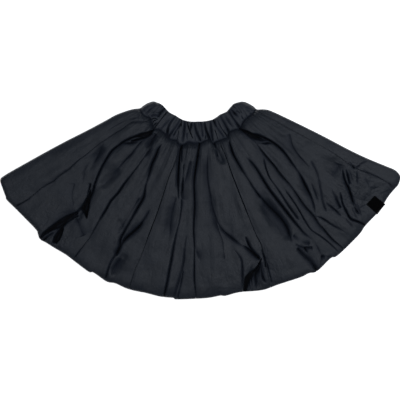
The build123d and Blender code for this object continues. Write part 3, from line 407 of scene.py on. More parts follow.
# ------------------------------------------------------------------ the front's outer face
def front_cloth(x, y):
    """Height of the front's cloth over the table before the side folds and the hem roll, and how much painted shade
    darkens its colour in the creases, the pockets and along the waist seam.
    """
    shape = x.shape
    x, y = x.ravel(), y.ravel()
    th, r = polar(x, y)
    arc = th * 400.0
    e_waist = r - band_bot_r(th)
    e_hem = hem_r(th) - r
    h = np.full(x.shape, CROWN)
    # loft and long soft flutes
    h += 3.2 * noise(arc / 46 + 3.1, r / 210 + 0.7, 1)
    h += 2.2 * noise(arc / 19 + 9.1, r / 110 + 5.7, 2)
    h += 2.2 * noise(x / 42, y / 42, 3)
    h += 0.5 * noise(x / 15, y / 15, 4) + 0.13 * noise(x / 6.5, y / 6.5, 5)
    # fine crumple lines, long and narrow, where the cloth is slack
    slack = 0.10 + 0.40 * smooth(noise(x / 90, y / 90, 6) + 0.4)
    slack += 1.2 * np.exp(-(np.hypot(x - 415, y - 20) / 75) ** 2) + 0.9 * np.exp(-(np.hypot(x - 160, y + 185) / 60) ** 2)
    slack += 0.9 * np.exp(-(np.hypot(x + 395, y + 85) / 60) ** 2)
    h -= 1.0 * slack * np.maximum(0, ridged(arc / 11, r / 48, 7) - 0.45)
    h -= 0.8 * slack * np.maximum(0, ridged(x / 17, y / 17, 8) - 0.5)
    h += 0.5 * slack * noise(x / 8.5, y / 8.5, 18)
    # gathers let into the waist seam
    near = np.exp(-np.maximum(e_waist, 0) / 30)
    h += 1.6 * near * noise(arc / 7.0, r / 90, 9) + 0.8 * near * noise(arc / 3.6, r / 60, 10)
    h -= 12.0 * np.exp(-np.maximum(e_waist, 0) / 7.5) + np.maximum(0, -e_waist) * 0.9
    # the hem's edge bends down before it turns under
    round_hem = th / math.radians(128) + 0.5
    bend = along(HEM_BEND, round_hem) * (1 + 0.35 * noise(arc / 30, 1.7 + 0 * r, 14))
    near = np.clip(1 - e_hem / along(HEM_BEND_WIDTH, round_hem), 0, 1)
    h -= bend * near * near
    # small puckers of the turned hem
    near = np.exp(-np.maximum(e_hem, 0) / 14)
    h += 1.3 * near * noise(arc / 5.5, 0.3 + 0 * r, 11) + 0.7 * near * noise(arc / 2.6, r / 30, 12)
    for name, depth, radius, pts in HOLLOWS:
        idx, d, s = line_field(x, y, spline(pts), radius * 2.6)
        if len(idx):
            h[idx] -= depth * np.exp(-((d / radius) ** 2))
    # folds
    sunk, shade = np.zeros(x.shape), np.zeros(x.shape)
    for i, (name, depth, ww, we, ta, tb, pts) in enumerate(FOLDS):
        idx, d, s = line_field(x, y, spline(pts), max(max(ww), max(we)) * 3.2)
        if not len(idx):
            continue
        w = np.where(d < 0, along(ww, s), along(we, s))
        fade = np.ones(len(idx))
        if ta > 0:
            fade *= smooth(s / ta)
        if tb > 0:
            fade *= smooth((1 - s) / tb)
        # two puffed sides meet in the crease and turn down steeply into it
        t = np.abs(d) / w
        cut = 0.82 * (1 - ell(t)) + 0.18 * np.exp(-((t / 1.5) ** 2))
        sunk[idx] += along(depth, s) * fade * cut
    # pockets where the cloth drops away under a neighbouring fold
    for depth, soft, pts in POCKETS:
        ring = np.array(list(pts) + [pts[0]], float)
        idx, d, s = line_field(x, y, ring, soft)
        if not len(idx):
            continue
        px, py = x[idx], y[idx]
        inside = np.zeros(len(idx), bool)
        for (ax, ay), (bx, by) in zip(ring[:-1], ring[1:]):
            if ay == by:
                continue
            inside ^= ((ay > py) != (by > py)) & (px < (bx - ax) * (py - ay) / (by - ay) + ax)
        dist = np.where(inside, np.abs(d), -np.abs(d))
        wobble = 1 + 0.15 * noise(px / 9, py / 9, 19)
        # long streaks of cloth inside the pocket
        mid = ring[:-1].mean(0)
        lean = 0.5 * math.atan2(
            2 * ((ring[:-1, 0] - mid[0]) * (ring[:-1, 1] - mid[1])).sum(),
            ((ring[:-1, 0] - mid[0]) ** 2 - (ring[:-1, 1] - mid[1]) ** 2).sum(),
        )
        run = (px - mid[0]) * math.cos(lean) + (py - mid[1]) * math.sin(lean)
        side = (py - mid[1]) * math.cos(lean) - (px - mid[0]) * math.sin(lean)
        streak = noise(run / 34, side / 4.2, 20)
        gap2 = (px[:, None] - ring[None, :-1, 0]) ** 2 + (py[:, None] - ring[None, :-1, 1]) ** 2
        pull = 1.0 / (gap2 + 4.0)
        floor_at = (pull * np.array(depth)[None]).sum(1) / pull.sum(1)
        floor_at = floor_at * (wobble - 0.45 * np.maximum(0, streak)) * ell(np.clip((dist + soft * 0.35) / soft, 0, 1))
        sunk[idx] = np.maximum(sunk[idx], floor_at)
        # painted shade: the pocket floors are darkened in base colour to nearly black, with lighter streaks
        shade[idx] = np.maximum(shade[idx], (1.12 - 0.8 * np.maximum(0, streak)) * smooth((dist + soft * 0.3) / soft))
    # seams
    for k, pts in SEAMS.items():
        depth, w = SEAM_PULL[k]
        idx, d, s = line_field(x, y, spline(pts, 12.0), 30)
        if not len(idx):
            continue
        vary = 1 + 0.25 * noise(s * 26, k + 0.5 + 0 * s, 15)
        pucker = noise(s * 75, 0.3 * k + np.abs(d) / 14, 16)
        h[idx] -= 0.4 * pucker * np.exp(-((d / 6.0) ** 2)) + 0.5 * np.exp(-((d / 8.0) ** 2))
        sunk[idx] += along(depth, s) * vary * (1 - ell(np.abs(d) / w))
    # the sewn label lies on a quiet patch
    lx, ly = LABEL_MID
    calm = np.exp(-(np.maximum(0, np.hypot(x - lx, y - ly) - 16) / 9) ** 2)
    h = h * (1 - calm) + 54.6 * calm
    sunk *= 1 - calm
    h = np.minimum(h, 61.5)
    # a crease stops where it meets the lining
    room = h - 32.8
    deep = np.maximum(sunk, 0)
    deep = deep / (1 + (deep / room) ** 4) ** 0.25
    # painted shade: the base colour darkens with each crease's depth, in the pockets, and along the waist seam under
    # the band
    painted_shade = np.maximum(1 - np.exp(-deep / 7.0), shade * (1 - calm))
    painted_shade = np.maximum(painted_shade, (0.66 - 0.34 * smooth((np.abs(th) - 0.82) / 0.1)) * np.exp(-np.maximum(e_waist, 0) / 2.8))
    h = h - deep - np.minimum(sunk, 0)
    return np.clip(h, 32.6, 62.0).reshape(shape), painted_shade.reshape(shape)


def front_height(x, y):
    return front_cloth(x, y)[0]



def under_height(x, y):
    """Height of the back's cloth where it lies on the table: flat, with shallow grooves."""
    shape = x.shape
    x, y = x.ravel(), y.ravel()
    th, r = polar(x, y)
    arc = th * 400.0
    h = np.zeros(x.shape)
    h += 3.2 * np.maximum(0, noise(arc / 40 + 7.7, r / 230 + 2.2, 21) + 0.02)
    h += 2.4 * np.maximum(0, ridged(arc / 60 + 1.3, r / 300, 22) - 0.72) * 3
    h += 1.0 * np.maximum(0, noise(x / 30, y / 30, 23))
    h += 0.5 * np.maximum(0, noise(arc / 9, r / 60, 24))
    for k, deg in enumerate(BACK_SEAMS):
        d = r * np.sin(np.clip(th - math.radians(deg), -1.5, 1.5))
        h += 2.6 * np.exp(-np.abs(d) / 2.4) + 1.3 * np.exp(-((d / 9) ** 2))
    e_waist = r - band_bot_r(th)
    h += 3.0 * np.exp(-np.maximum(e_waist, 0) / 10)
    h += 1.5 * np.exp(-np.maximum(e_waist, 0) / 50) * np.maximum(0, noise(arc / 7, r / 90, 25))
    return np.clip(h, 0.0, 9.0).reshape(shape)


# ------------------------------------------------------------------ mesh making
def add_mesh(name, verts_mm, faces, uv=None, flat_share=None):
    """faces is an (n, 4) array of quads; verts in millimetres; uv per vertex in metres."""
    me = bpy.data.meshes.new(name)
    v = np.asarray(verts_mm, np.float64) * 0.001
    f = np.asarray(faces, np.int64)
    me.vertices.add(len(v))
    me.vertices.foreach_set("co", v.ravel())
    me.loops.add(f.size)
    me.loops.foreach_set("vertex_index", f.ravel())
    me.polygons.add(len(f))
    me.polygons.foreach_set("loop_start", np.arange(0, f.size, f.shape[1]))
    me.polygons.foreach_set("loop_total", np.full(len(f), f.shape[1]))
    me.update(calc_edges=True)
    me.polygons.foreach_set("use_smooth", np.ones(len(f), bool))
    if uv is not None:
        layer = me.uv_layers.new(name="cloth")
        layer.data.foreach_set("uv", np.asarray(uv, np.float64)[f.ravel()].ravel())
    me.validate()
    ob = bpy.data.objects.new(name, me)
    bpy.context.scene.collection.objects.link(ob)
    return ob


def closed_pad(name, outer, inner, grain=0.0, painted_shade=None):
    """Closed skin from two matching grids of points, (ni, nj, 3)."""
    ni, nj = outer.shape[:2]
    verts = np.concatenate([outer.reshape(-1, 3), inner.reshape(-1, 3)])
    idx = np.arange(ni * nj).reshape(ni, nj)
    a, b, c, d = idx[:-1, :-1], idx[1:, :-1], idx[1:, 1:], idx[:-1, 1:]
    top = np.stack([a, d, c, b], -1).reshape(-1, 4)
    low = np.stack([a, b, c, d], -1).reshape(-1, 4) + ni * nj

    def strip(line):
        p, q = line[:-1], line[1:]
        return np.stack([p, q, q + ni * nj, p + ni * nj], -1)

    edge = np.concatenate([
        idx[0, :], idx[1:, -1], idx[-1, ::-1][1:], idx[::-1, 0][1:],
    ])
    sides = strip(edge)
    faces = np.concatenate([top, low, sides[:, ::-1]])
    ca, sa = math.cos(grain), math.sin(grain)
    uv = np.stack([
        (verts[:, 0] * ca + verts[:, 1] * sa + 0.6 * verts[:, 2]) * 0.001,
        (-verts[:, 0] * sa + verts[:, 1] * ca + 0.6 * verts[:, 2]) * 0.001,
    ], -1)
    ob = add_mesh(name, verts, faces, uv)
    orient(ob)
    # painted shade: per-vertex darkening of the base colour, read by the cloth material
    if painted_shade is not None:
        att = ob.data.attributes.new("painted_shade", "FLOAT", "POINT")
        att.data.foreach_set("value", np.concatenate([painted_shade.ravel(), np.zeros(ni * nj)]).astype(np.float32))
    return ob


def orient(ob):
    """Turns the faces outward if the closed mesh came out inside out."""
    me = ob.data
    n = len(me.polygons)
    co = np.empty(len(me.vertices) * 3)
    me.vertices.foreach_get("co", co)
    co = co.reshape(-1, 3)
    li = np.empty(len(me.loops), np.int64)
    me.loops.foreach_get("vertex_index", li)
    q = co[li.reshape(n, -1)]
    vol = 0.0
    for k in range(1, q.shape[1] - 1):
        vol += np.einsum("ij,ij->", q[:, 0], np.cross(q[:, k], q[:, k + 1]))
    if vol < 0:
        me.flip_normals()


def hem_rows(length, fine):
    """Distances from the hem at which a gore has a row, hem first."""
    roll = R_HEMROLL * (1 - np.cos(np.linspace(0, math.pi / 2, 9)))
    n = int((length - R_HEMROLL) / fine)
    rest = np.linspace(R_HEMROLL, length, n + 1)[1:]
    return np.concatenate([roll, rest])


def settle(th_of, v, start=11.0):
    """Radius and angle on a grid: angle by columns at that radius, radius by rows between waist seam and hem."""
    r = 180 + (600 - 180) * v
    for _ in range(6):
        th = th_of(r)
        r_in, r_out = band_bot_r(th) - start, hem_r(th)
        r = r_in + (r_out - r_in) * v
    return th, r


def close_hem(outer, inner, e_hem):
    th, r = polar(outer[..., 0], outer[..., 1])
    roll = 5.5 + 2.5 * noise(th * 18, 0.7 + 0 * th, 17)
    f = ell(e_hem / roll, 2.3)[..., None]
    f = np.maximum(f, 0.02)
    mid = (outer + inner) / 2
    return mid + (outer - mid) * f, mid + (inner - mid) * f


L_NOM = 425.0
FINE = 1.35
COL = 0.95


def gore_grid(th_a, th_b, n, gap=0.3):
    """Angle and radius of a gore between two boundary functions of radius."""
    e = hem_rows(L_NOM, FINE)
    v = 1 - e / L_NOM
    u = np.linspace(0, 1, n)
    u = u - 0.10 * np.sin(2 * np.pi * u) / (2 * np.pi) * 2
    uu, vv = np.meshgrid(u, v, indexing="ij")

    def th_of(r):
        a, b = th_a(r) + gap / r, th_b(r) - gap / r
        return a + (b - a) * uu

    th, r = settle(th_of, vv)
    return th, r


def grid_points(th, r, z):
    x, y = cart(th, r)
    return np.stack([x, y, z + 0 * x], -1)


def side_drop(th, r, z, base=Z_FOLD):
    """Lets a height fall round the two side folds: softly at first, then round the fold."""
    el = r * np.sin(np.clip(th - left_th(r), 0, 1.5))
    er = r * np.sin(np.clip(right_th(r) - th, 0, 1.5))
    e = np.minimum(el, er)
    return base + (z - FOLD_BEND * np.clip(1 - e / FOLD_BEND_WIDTH, 0, 1) ** 2 - base) * ell(e / R_FOLD, 2.2)


made = []
bounds_th = {0: left_th, 8: right_th, **seam_th}


def columns(a, b):
    r0 = 560.0
    return int(np.clip(r0 * float(b(r0) - a(r0)) / COL, 12, 700))


# front gores
for k in range(1, 7):
    a, b = seam_th[k], seam_th[k + 1]
    th, r = gore_grid(a, b, columns(a, b))
    x, y = cart(th, r)
    z, painted_shade = front_cloth(x, y)
    z = side_drop(th, r, z)
    e_hem = hem_r(th) - r
    # painted shade: base colour darkened along the hem's edge where it rolls under
    painted_shade = np.maximum(painted_shade, 0.6 * np.exp(-np.maximum(e_hem, 0) / 3.0))
    outer = grid_points(th, r, z)
    inner = grid_points(th, r, np.full(r.shape, Z_LINE_F) + 0.25 * noise(x / 25, y / 25, 31))
    outer, inner = close_hem(outer, inner, e_hem)
    ob = closed_pad(f"front_gore_{k}_puffed", outer, inner, grain=float(a(400) + b(400)) / 2, painted_shade=painted_shade)
    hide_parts(f"front_gore_{k}", f"front_wadding_{k}")
    made.append(ob)

# back gores
for k in range(1, 6):
    ta, tb = math.radians(BACK_SEAMS[k - 1]), math.radians(BACK_SEAMS[k])
    a, b = (lambda r, t=ta: t + 0 * r), (lambda r, t=tb: t + 0 * r)
    th, r = gore_grid(a, b, columns(a, b) * 2 // 3)
    x, y = cart(th, r)
    e_hem = hem_r(th) - r
    outer = grid_points(th, r, under_height(x, y))
    inner = grid_points(th, r, np.full(r.shape, Z_LINE_B) + 0.25 * noise(x / 25, y / 25, 32))
    outer, inner = close_hem(outer, inner, e_hem)
    ob = closed_pad(f"back_gore_{k}_puffed", outer, inner, grain=(ta + tb) / 2)
    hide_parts(f"back_gore_{k}", f"back_wadding_{k}")
    made.append(ob)


# side gores, carried round the folds
def side_gore(name, sign, front_seam, back_deg, nodes):
    edge = right_th if sign > 0 else left_th
    e = hem_rows(L_NOM, FINE)
    v = 1 - e / L_NOM
    back_th = math.radians(back_deg)
    w_nom = 560 * abs(float(front_seam(560) - edge(560)))
    roll = R_FOLD * (1 - np.cos(np.linspace(0, math.pi / 2, 13)))

    def cols(width):
        if width <= R_FOLD * 1.2:
            return (1 - np.cos(np.linspace(0, math.pi / 2, 16)))
        n = max(3, int((width - R_FOLD) / COL))
        return np.concatenate([roll, np.linspace(R_FOLD, width, n + 1)[1:]]) / width

    fa = cols(w_nom)[::-1]
    wb_nom = 560 * abs(back_th - float(edge(560)))
    fb = cols(wb_nom)[1:]
    front = np.concatenate([np.ones(len(fa), bool), np.zeros(len(fb), bool)])
    frac = np.concatenate([fa, fb])
    ff, vv = np.meshgrid(frac, v, indexing="ij")
    isf = np.repeat(front[:, None], len(v), 1)

    def th_of(r):
        te = edge(r)
        seam = np.where(isf, front_seam(r), back_th)
        seam = seam + sign * 0.3 / r
        return te + (seam - te) * ff

    th, r = settle(th_of, vv)
    te = edge(r)
    x, y = cart(th, r)
    dist = r * np.sin(np.clip(np.abs(te - th), 0, 1.5))
    seam = np.where(isf, front_seam(r), back_th)
    width = r * np.sin(np.clip(np.abs(te - seam), 0, 1.5))
    f = ell(dist / R_FOLD, 2.2)
    zf, painted_shade = front_cloth(x, y)
    # painted shade: base colour darkened near the side folds
    painted_shade = np.where(isf, np.maximum(painted_shade, 0.6 * np.exp(-dist / 4.0)), 0.0)
    near = np.clip(1 - dist / FOLD_BEND_WIDTH, 0, 1) ** 2
    zf = Z_FOLD + (zf - FOLD_BEND * near - Z_FOLD) * f
    zb = Z_FOLD - (Z_FOLD - under_height(x, y) - 0.8 * FOLD_BEND * near) * ell(dist / 19.0)
    outer = grid_points(th, r, np.where(isf, zf, zb))
    wall = np.minimum(18.0, 0.6 * width)
    d_in = wall + dist * (1 - wall / np.maximum(width, 1.0))
    th_in = te - sign * np.arcsin(np.clip(d_in / r, -1, 1))
    g = ell((d_in - wall) / 6.0)
    zi = np.where(isf, 24 + (Z_LINE_F - 24) * g, 24 - (24 - Z_LINE_B) * g)
    inner = grid_points(th_in, r, zi)
    outer, inner = close_hem(outer, inner, hem_r(th) - r)
    ob = closed_pad(name, outer, inner, grain=sign * 1.0, painted_shade=painted_shade)
    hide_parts(*nodes)
    made.append(ob)
    return ob


side_gore("side_gore_left_puffed", 1, seam_th[7], BACK_SEAMS[-1], ("side_gore_left", "side_wadding_left"))
side_gore("side_gore_right_puffed", -1, seam_th[1], BACK_SEAMS[0], ("side_gore_right", "side_wadding_right"))

# ------------------------------------------------------------------ waistband
TH_L, TH_R = math.radians(-62.7), math.radians(60.9)
BAND_FRONT, BAND_BACK, BAND_FOLD_Z = 45.0, 1.5, 21.0


def band_relief(x, y, th, r, seed):
    """Pleats of the gathered casing, in mm outwards."""
    arc = th * 150.0
    h = 0.9 * noise(arc / 3.3, r / 60, seed) + 0.6 * noise(arc / 1.9, r / 40, seed + 1)
    h += 0.8 * noise(arc / 9.0, r / 25, seed + 2)
    h += 0.35 * noise(x / 4.0, y / 4.0, seed + 3)
    ear = smooth((np.abs(th) - 0.84) / 0.1)
    h += ear * (0.9 * noise(arc / 2.6, r / 30, seed + 4) + 0.5 * noise(x / 6.0, y / 3.5, seed + 5))
    return h


def band_piece(name, is_front, node):
    e_roll = 9.0
    n_r = 56
    t = np.linspace(0, 1, n_r)
    v = (1 - np.cos(np.pi * t)) / 2 * 0.35 + t * 0.65
    wn = 330.0
    roll = 18.0 * (1 - np.cos(np.linspace(0, math.pi / 2, 11)))
    n = int((wn - 36) / (0.6))
    u = np.concatenate([roll, np.linspace(18, wn - 18, n + 1)[1:-1], wn - roll[::-1]]) / wn
    uu, vv = np.meshgrid(u, v, indexing="ij")
    th = TH_L + (TH_R - TH_L) * uu
    for _ in range(6):
        r_t, r_b = band_top_r(th), band_bot_r(th) + 2.0
        r = r_t + (r_b - r_t) * vv
        th_l, th_r = band_end_l(r), band_end_r(r)
        th = th_l + (th_r - th_l) * uu
    x, y = cart(th, r)
    e_end = np.minimum(r * np.sin(np.clip(th - th_l, 0, 1.5)), r * np.sin(np.clip(th_r - th, 0, 1.5)))
    e_top, e_bot = r - r_t, r_b - r
    relief = band_relief(x, y, th, r, 41 if is_front else 51)
    if is_front:
        flat = (x.ravel(), y.ravel())
        cut = np.zeros(x.size)
        for depth, w, pts in GATHERS:
            idx, d, s = line_field(*flat, spline(pts, 3.0), w * 2)
            if len(idx):
                fade = smooth((s + 0.1) / 0.16) * smooth((1.1 - s) / 0.16)
                tt = np.abs(d) / w
                cut[idx] += 1.15 * along(depth, s) * fade * (1 - ell(tt))
        relief = relief - cut.reshape(x.shape)
        # painted shade: base colour darkened in the waistband's gathers and along its lower edge
        painted_shade = 1 - np.exp(-np.maximum(cut, 0).reshape(x.shape) / 3.2)
        painted_shade = np.maximum(painted_shade, 0.55 * np.exp(-np.maximum(e_bot - 2, 0) / 2.6))
        z = BAND_FRONT + 1.2 * np.sin(np.pi * np.clip(vv, 0, 1)) + relief
        z = np.clip(z, 31.0, 50)
        zin = 29.0
    else:
        z = BAND_BACK - np.minimum(relief * 0.8, 1.4) * -1
        z = np.clip(z, 0.0, 6.0)
        painted_shade = None
        zin = 11.0
    f = ell(e_end / 18.0)
    zo = BAND_FOLD_Z + (z - BAND_FOLD_Z) * f
    outer = grid_points(th, r, zo)
    span = th_r - th_l
    wall = np.arcsin(11.0 / r)
    th_in = th_l + wall + (th - th_l) * (1 - 2 * wall / span)
    e_in = np.minimum(r * np.sin(np.clip(th_in - th_l - wall, 0, 1.5)), r * np.sin(np.clip(th_r - wall - th_in, 0, 1.5)))
    zi = BAND_FOLD_Z + (zin - BAND_FOLD_Z) * ell(e_in / 8.0)
    inner = grid_points(th_in, r, zi)
    g = np.minimum(ell(e_top / 7.0), 0.30 + 0.70 * ell(e_bot / 8.0))
    g = np.maximum(g, 0.02)[..., None]
    mid = (outer + inner) / 2
    outer, inner = mid + (outer - mid) * g, mid + (inner - mid) * g
    ob = closed_pad(name, outer, inner, painted_shade=painted_shade)
    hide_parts(node)
    made.append(ob)
    return ob


band_f = band_piece("waistband_front_gathered", True, "waistband_casing_front")
band_b = band_piece("waistband_back_gathered", False, "waistband_casing_back")


def elastic_loop():
    """The flattened elastic inside the casing: one closed strip, folded at the two ends."""
    a, b = TH_L + math.radians(8.5), TH_R - math.radians(8.5)
    n = 150
    front = np.linspace(a, b, n)
    turn = np.linspace(0, math.pi, 12)[1:-1]
    th_f = [(q, 25.4) for q in front]
    end = [(b + math.radians(2.0) * math.sin(q), 19.5 + 5.9 * math.cos(q)) for q in turn]
    th_b = [(q, 13.6) for q in front[::-1]]
    end2 = [(a - math.radians(2.0) * math.sin(q), 19.5 - 5.9 * math.cos(q)) for q in turn]
    path = np.array(th_f + end + th_b + end2)
    m, k = len(path), 16
    th = np.repeat(path[:, :1], k, 1)
    z = np.repeat(path[:, 1:], k, 1)
    v = np.linspace(0, 1, k)[None]
    r0, r1 = band_top_r(th) + 7.0, band_bot_r(th) - 7.0
    mid = (r0 + r1) / 2
    half = np.minimum((r1 - r0) / 2, 24.0)
    r = mid + half * (2 * v - 1)
    z = z + 0.5 * noise(th * 60, r / 30, 81)
    x, y = cart(th, r)
    p = np.stack([x, y, z], -1)
    nxt = np.roll(p, -1, 0) - np.roll(p, 1, 0)
    crs = np.gradient(p, axis=1)
    nrm = np.cross(nxt, crs)
    nrm /= np.linalg.norm(nrm, axis=-1, keepdims=True) + 1e-9
    o, i = p + nrm * 0.55, p - nrm * 0.55
    verts = np.concatenate([o.reshape(-1, 3), i.reshape(-1, 3)])
    idx = np.arange(m * k).reshape(m, k)
    nx = np.roll(idx, -1, 0)
    q1 = np.stack([idx[:, :-1], nx[:, :-1], nx[:, 1:], idx[:, 1:]], -1).reshape(-1, 4)
    q2 = q1[:, ::-1] + m * k
    e1 = np.stack([idx[:, 0], idx[:, 0] + m * k, nx[:, 0] + m * k, nx[:, 0]], -1)
    e2 = np.stack([idx[:, -1], nx[:, -1], nx[:, -1] + m * k, idx[:, -1] + m * k], -1)
    ob = add_mesh("waist_elastic_strip", verts, np.concatenate([q1, q2, e1, e2]))
    orient(ob)
    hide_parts("waist_elastic")
    return ob


elastic_ob = elastic_loop()
rows = []
for q in np.linspace(-0.9, 0.9, 9):
    th0 = math.radians(0.5)
    for s in (-1, 1):
        r_ = 150 + 22 * q + s * 0.9
        xa, ya = cart(th0 - 0.012, r_)
        xb, yb = cart(th0 + 0.012, r_ + 1.6 * s)
        rows.append(((xa, ya, 12.9), (xb, yb, 12.9)))

# ------------------------------------------------------------------ lining and hem facing
def inner_sheet(name, node, z0, r0, r1, seed):
    n_t, n_r = (300, 90) if r1 - r0 > 100 else (320, 12)
    half = math.radians(64.3)
    uu, vv = np.meshgrid(np.linspace(-1, 1, n_t), np.linspace(0, 1, n_r), indexing="ij")
    edge = np.minimum(r1, hem_r(half * uu) - 5.0)
    r = r0 + (edge - r0) * vv
    th = (half - np.arcsin(21.0 / r)) * uu
    x, y = cart(th, r)
    z = z0 + 0.55 * noise(th * 30, r / 150, seed) + 0.3 * noise(x / 22, y / 22, seed + 1)
    outer = grid_points(th, r, z + 0.25)
    inner = grid_points(th, r, z - 0.25)
    ob = closed_pad(name, outer, inner)
    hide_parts(node)
    made.append(ob)
    return ob


sheets = [
    inner_sheet("lining_front_cloth", "lining_front", 30.0, 183.0, 555.5, 61),
    inner_sheet("lining_back_cloth", "lining_back", 18.1, 183.0, 555.5, 63),
    inner_sheet("hem_facing_front_cloth", "hem_facing_front", 30.0, 556.5, 596.5, 65),
    inner_sheet("hem_facing_back_cloth", "hem_facing_back", 18.1, 556.5, 596.5, 67),
]


# ------------------------------------------------------------------ stitches
def stitch_rows(name, rows, size=(2.9, 0.42, 0.34)):
    """Short rounded stitches: rows is a list of (points, heights) polylines, one stitch per segment."""
    base = []
    for a in (-1, -0.55, 0.55, 1):
        k = 0.45 if abs(a) == 1 else 1.0
        ring = [(a, k * math.cos(q), k * math.sin(q)) for q in np.linspace(0, 2 * np.pi, 7)[:-1]]
        base.append(ring)
    base = np.array(base)  # 4 rings of 6
    verts, faces = [], []
    for p, q in rows:
        p, q = np.asarray(p, float), np.asarray(q, float)
        d = q - p
        length = np.linalg.norm(d)
        d /= length
        side = np.cross(d, (0, 0, 1.0))
        side /= np.linalg.norm(side)
        up = np.cross(side, d)
        mid = (p + q) / 2
        o = len(verts) * 24
        pts = (mid + base[..., 0:1] * d * length / 2 + base[..., 1:2] * side * size[1] / 2 + base[..., 2:3] * up * size[2] / 2)
        verts.append(pts.reshape(-1, 3))
        for i in range(3):
            for j in range(6):
                k = (j + 1) % 6
                faces.append((o + i * 6 + j, o + i * 6 + k, o + (i + 1) * 6 + k, o + (i + 1) * 6 + j))
        faces.append((o, o + 1, o + 2, o + 3))
        faces.append((o, o + 3, o + 4, o + 5))
        faces.append((o + 18, o + 21, o + 20, o + 19))
        faces.append((o + 18, o + 23, o + 22, o + 21))
    ob = add_mesh(name, np.concatenate(verts), np.array(faces))
    made.append(ob)
    orient(ob)
    return ob


def seam_stitches(name, node, lines, height):
    rows = []
    for th_of, r0, r1 in lines:
        r = np.arange(r0, r1, 3.9)
        ra, rb = r, r + 3.0
        for s in (1,):
            xa, ya = cart(th_of(ra), ra)
            xb, yb = cart(th_of(rb), rb)
            za, zb = height(xa, ya), height(xb, yb)
            rows += [((p, q, z), (u, v, w)) for p, q, z, u, v, w in zip(xa, ya, za, xb, yb, zb)]
    ob = stitch_rows(name, rows)
    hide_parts(node)
    return ob


join_thread = stitch_rows("elastic_join_zigzag", rows)
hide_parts("elastic_join_stitches")

front_thread = seam_stitches(
    "gore_seam_stitches_front", "gore_seam_threads_front",
    [(seam_th[k], 205.0, 588.0) for k in range(1, 8)],
    lambda x, y: side_drop(*polar(x, y), front_height(x, y)) - 0.05,
)
hem_rows_ = []
for turn in np.arange(-60.5, 60.5, 0.42):
    ta, tb = math.radians(turn), math.radians(turn + 0.31)
    for z in (30.75, 17.15):
        ends = []
        for q in (ta, tb):
            rr = min(579.0, float(hem_r(q)) - 9.0)
            ends.append((float(rr * math.sin(q)), float(CY - rr * math.cos(q)), z))
        hem_rows_.append(tuple(ends))
hem_thread = stitch_rows("hem_facing_stitches", hem_rows_)
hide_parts("hem_facing_thread")
back_thread = seam_stitches(
    "gore_seam_stitches_back", "gore_seam_threads_back",
    [((lambda r, t=math.radians(d): t + 0 * r), 205.0, 585.0) for d in BACK_SEAMS],
    lambda x, y: under_height(x, y) + 0.05,
)

# ------------------------------------------------------------------ hem label
P = {k: np.array(v, float) for k, v in zip(("in_a", "hem_a", "hem_b", "in_b"), LABEL)}


def label_grid(n_s=34, n_t=26, lift=0.55, thick=0.55):
    """Points of the folded label: s from the hem inwards, t along the hem."""
    s = np.linspace(0, 1, n_s)
    t = np.linspace(0, 1, n_t)
    ss, tt = np.meshgrid(s, t, indexing="ij")
    hem = P["hem_a"][None, None] * (1 - tt[..., None]) + P["hem_b"][None, None] * tt[..., None]
    ins = P["in_a"][None, None] * (1 - tt[..., None]) + P["in_b"][None, None] * tt[..., None]
    xy = hem + (ins - hem) * ss[..., None]
    dist = ss * 37.0
    th, r = polar(xy[..., 0], xy[..., 1])
    top = 56.3 + 0.5 * np.sin(tt * 3.1) * ss + 0.3 * np.sin(ss * 3.0)
    z = 42.9 + (top - 42.9) * ell(dist / 9.0) + 0.3 * noise(xy[..., 0] / 12, xy[..., 1] / 12, 71)
    return xy, z


xy, z = label_grid()
nrm = 0.65
outer = np.concatenate([xy, (z + nrm)[..., None]], -1)
inner = np.concatenate([xy, (z - nrm)[..., None]], -1)
# the part that turns down over the hem is thick outwards, not upwards
away = np.array([math.sin(math.radians(47)), -math.cos(math.radians(47))])
lean = (1 - ell(np.linspace(0, 1, xy.shape[0]) * 37 / 10.0))[:, None, None]
outer[..., :2] += away * nrm * lean
inner[..., :2] -= away * nrm * lean
outer[..., 2] -= nrm * lean[..., 0] * 0.8
inner[..., 2] += nrm * lean[..., 0] * 0.8
outer[..., :2] += away * 1.6
inner[..., :2] += away * 1.6
# its root stands on the bend line of the label, so that it can turn over
TURN_AT = np.array([489.549, -22.074])
TURN_OUT = np.array([0.810042, -0.586372])
root = np.linspace(-0.4, -1.1, xy.shape[1])[None, :]
rise = (outer[..., 2] + inner[..., 2]) / 2 - 42.5
past = (xy + away * 1.6 - TURN_AT) @ TURN_OUT
hold = 1 - smooth((rise - 2.5) / 9.0)
move = (root - past[:1]) * hold
over = (outer[..., :2] - TURN_AT) @ TURN_OUT + move - (0.05 + 0.16 * np.maximum(rise, 0))
move = move - np.maximum(over, 0)
outer[..., :2] += TURN_OUT * move[..., None]
inner[..., :2] += TURN_OUT * move[..., None]
label = closed_pad("hem_label_folded", outer, inner, grain=math.radians(47))
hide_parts("hem_label")

# its sewn ends, flat against the hem under the label
t = np.linspace(0, 1, 20)
zz = np.linspace(41.6, 31.5, 10)
zt, tt = np.meshgrid(zz, t, indexing="ij")
hem = P["hem_a"][None, None] * (1 - tt[..., None]) + P["hem_b"][None, None] * tt[..., None]
back = R_HEMROLL * (1 - np.sqrt(np.clip(1 - ((42 - zt) / 12.0) ** 2, 0, 1)))
th, _ = polar(hem[..., 0], hem[..., 1])
base_xy = np.stack(cart(th, hem_r(th) + 0.4 - back), -1)
past = (base_xy - TURN_AT) @ TURN_OUT
root = -1.45 - 0.85 * tt
up = smooth((zt - 34.0) / 8.0)
base_xy = base_xy + TURN_OUT * ((root - past) * up)[..., None]
outer = np.concatenate([base_xy + TURN_OUT * 1.2, zt[..., None]], -1)
inner = np.concatenate([base_xy, zt[..., None]], -1)
tail = closed_pad("hem_label_sewn_end", outer, inner, grain=math.radians(47))
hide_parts("hem_label_tail")
rows = []
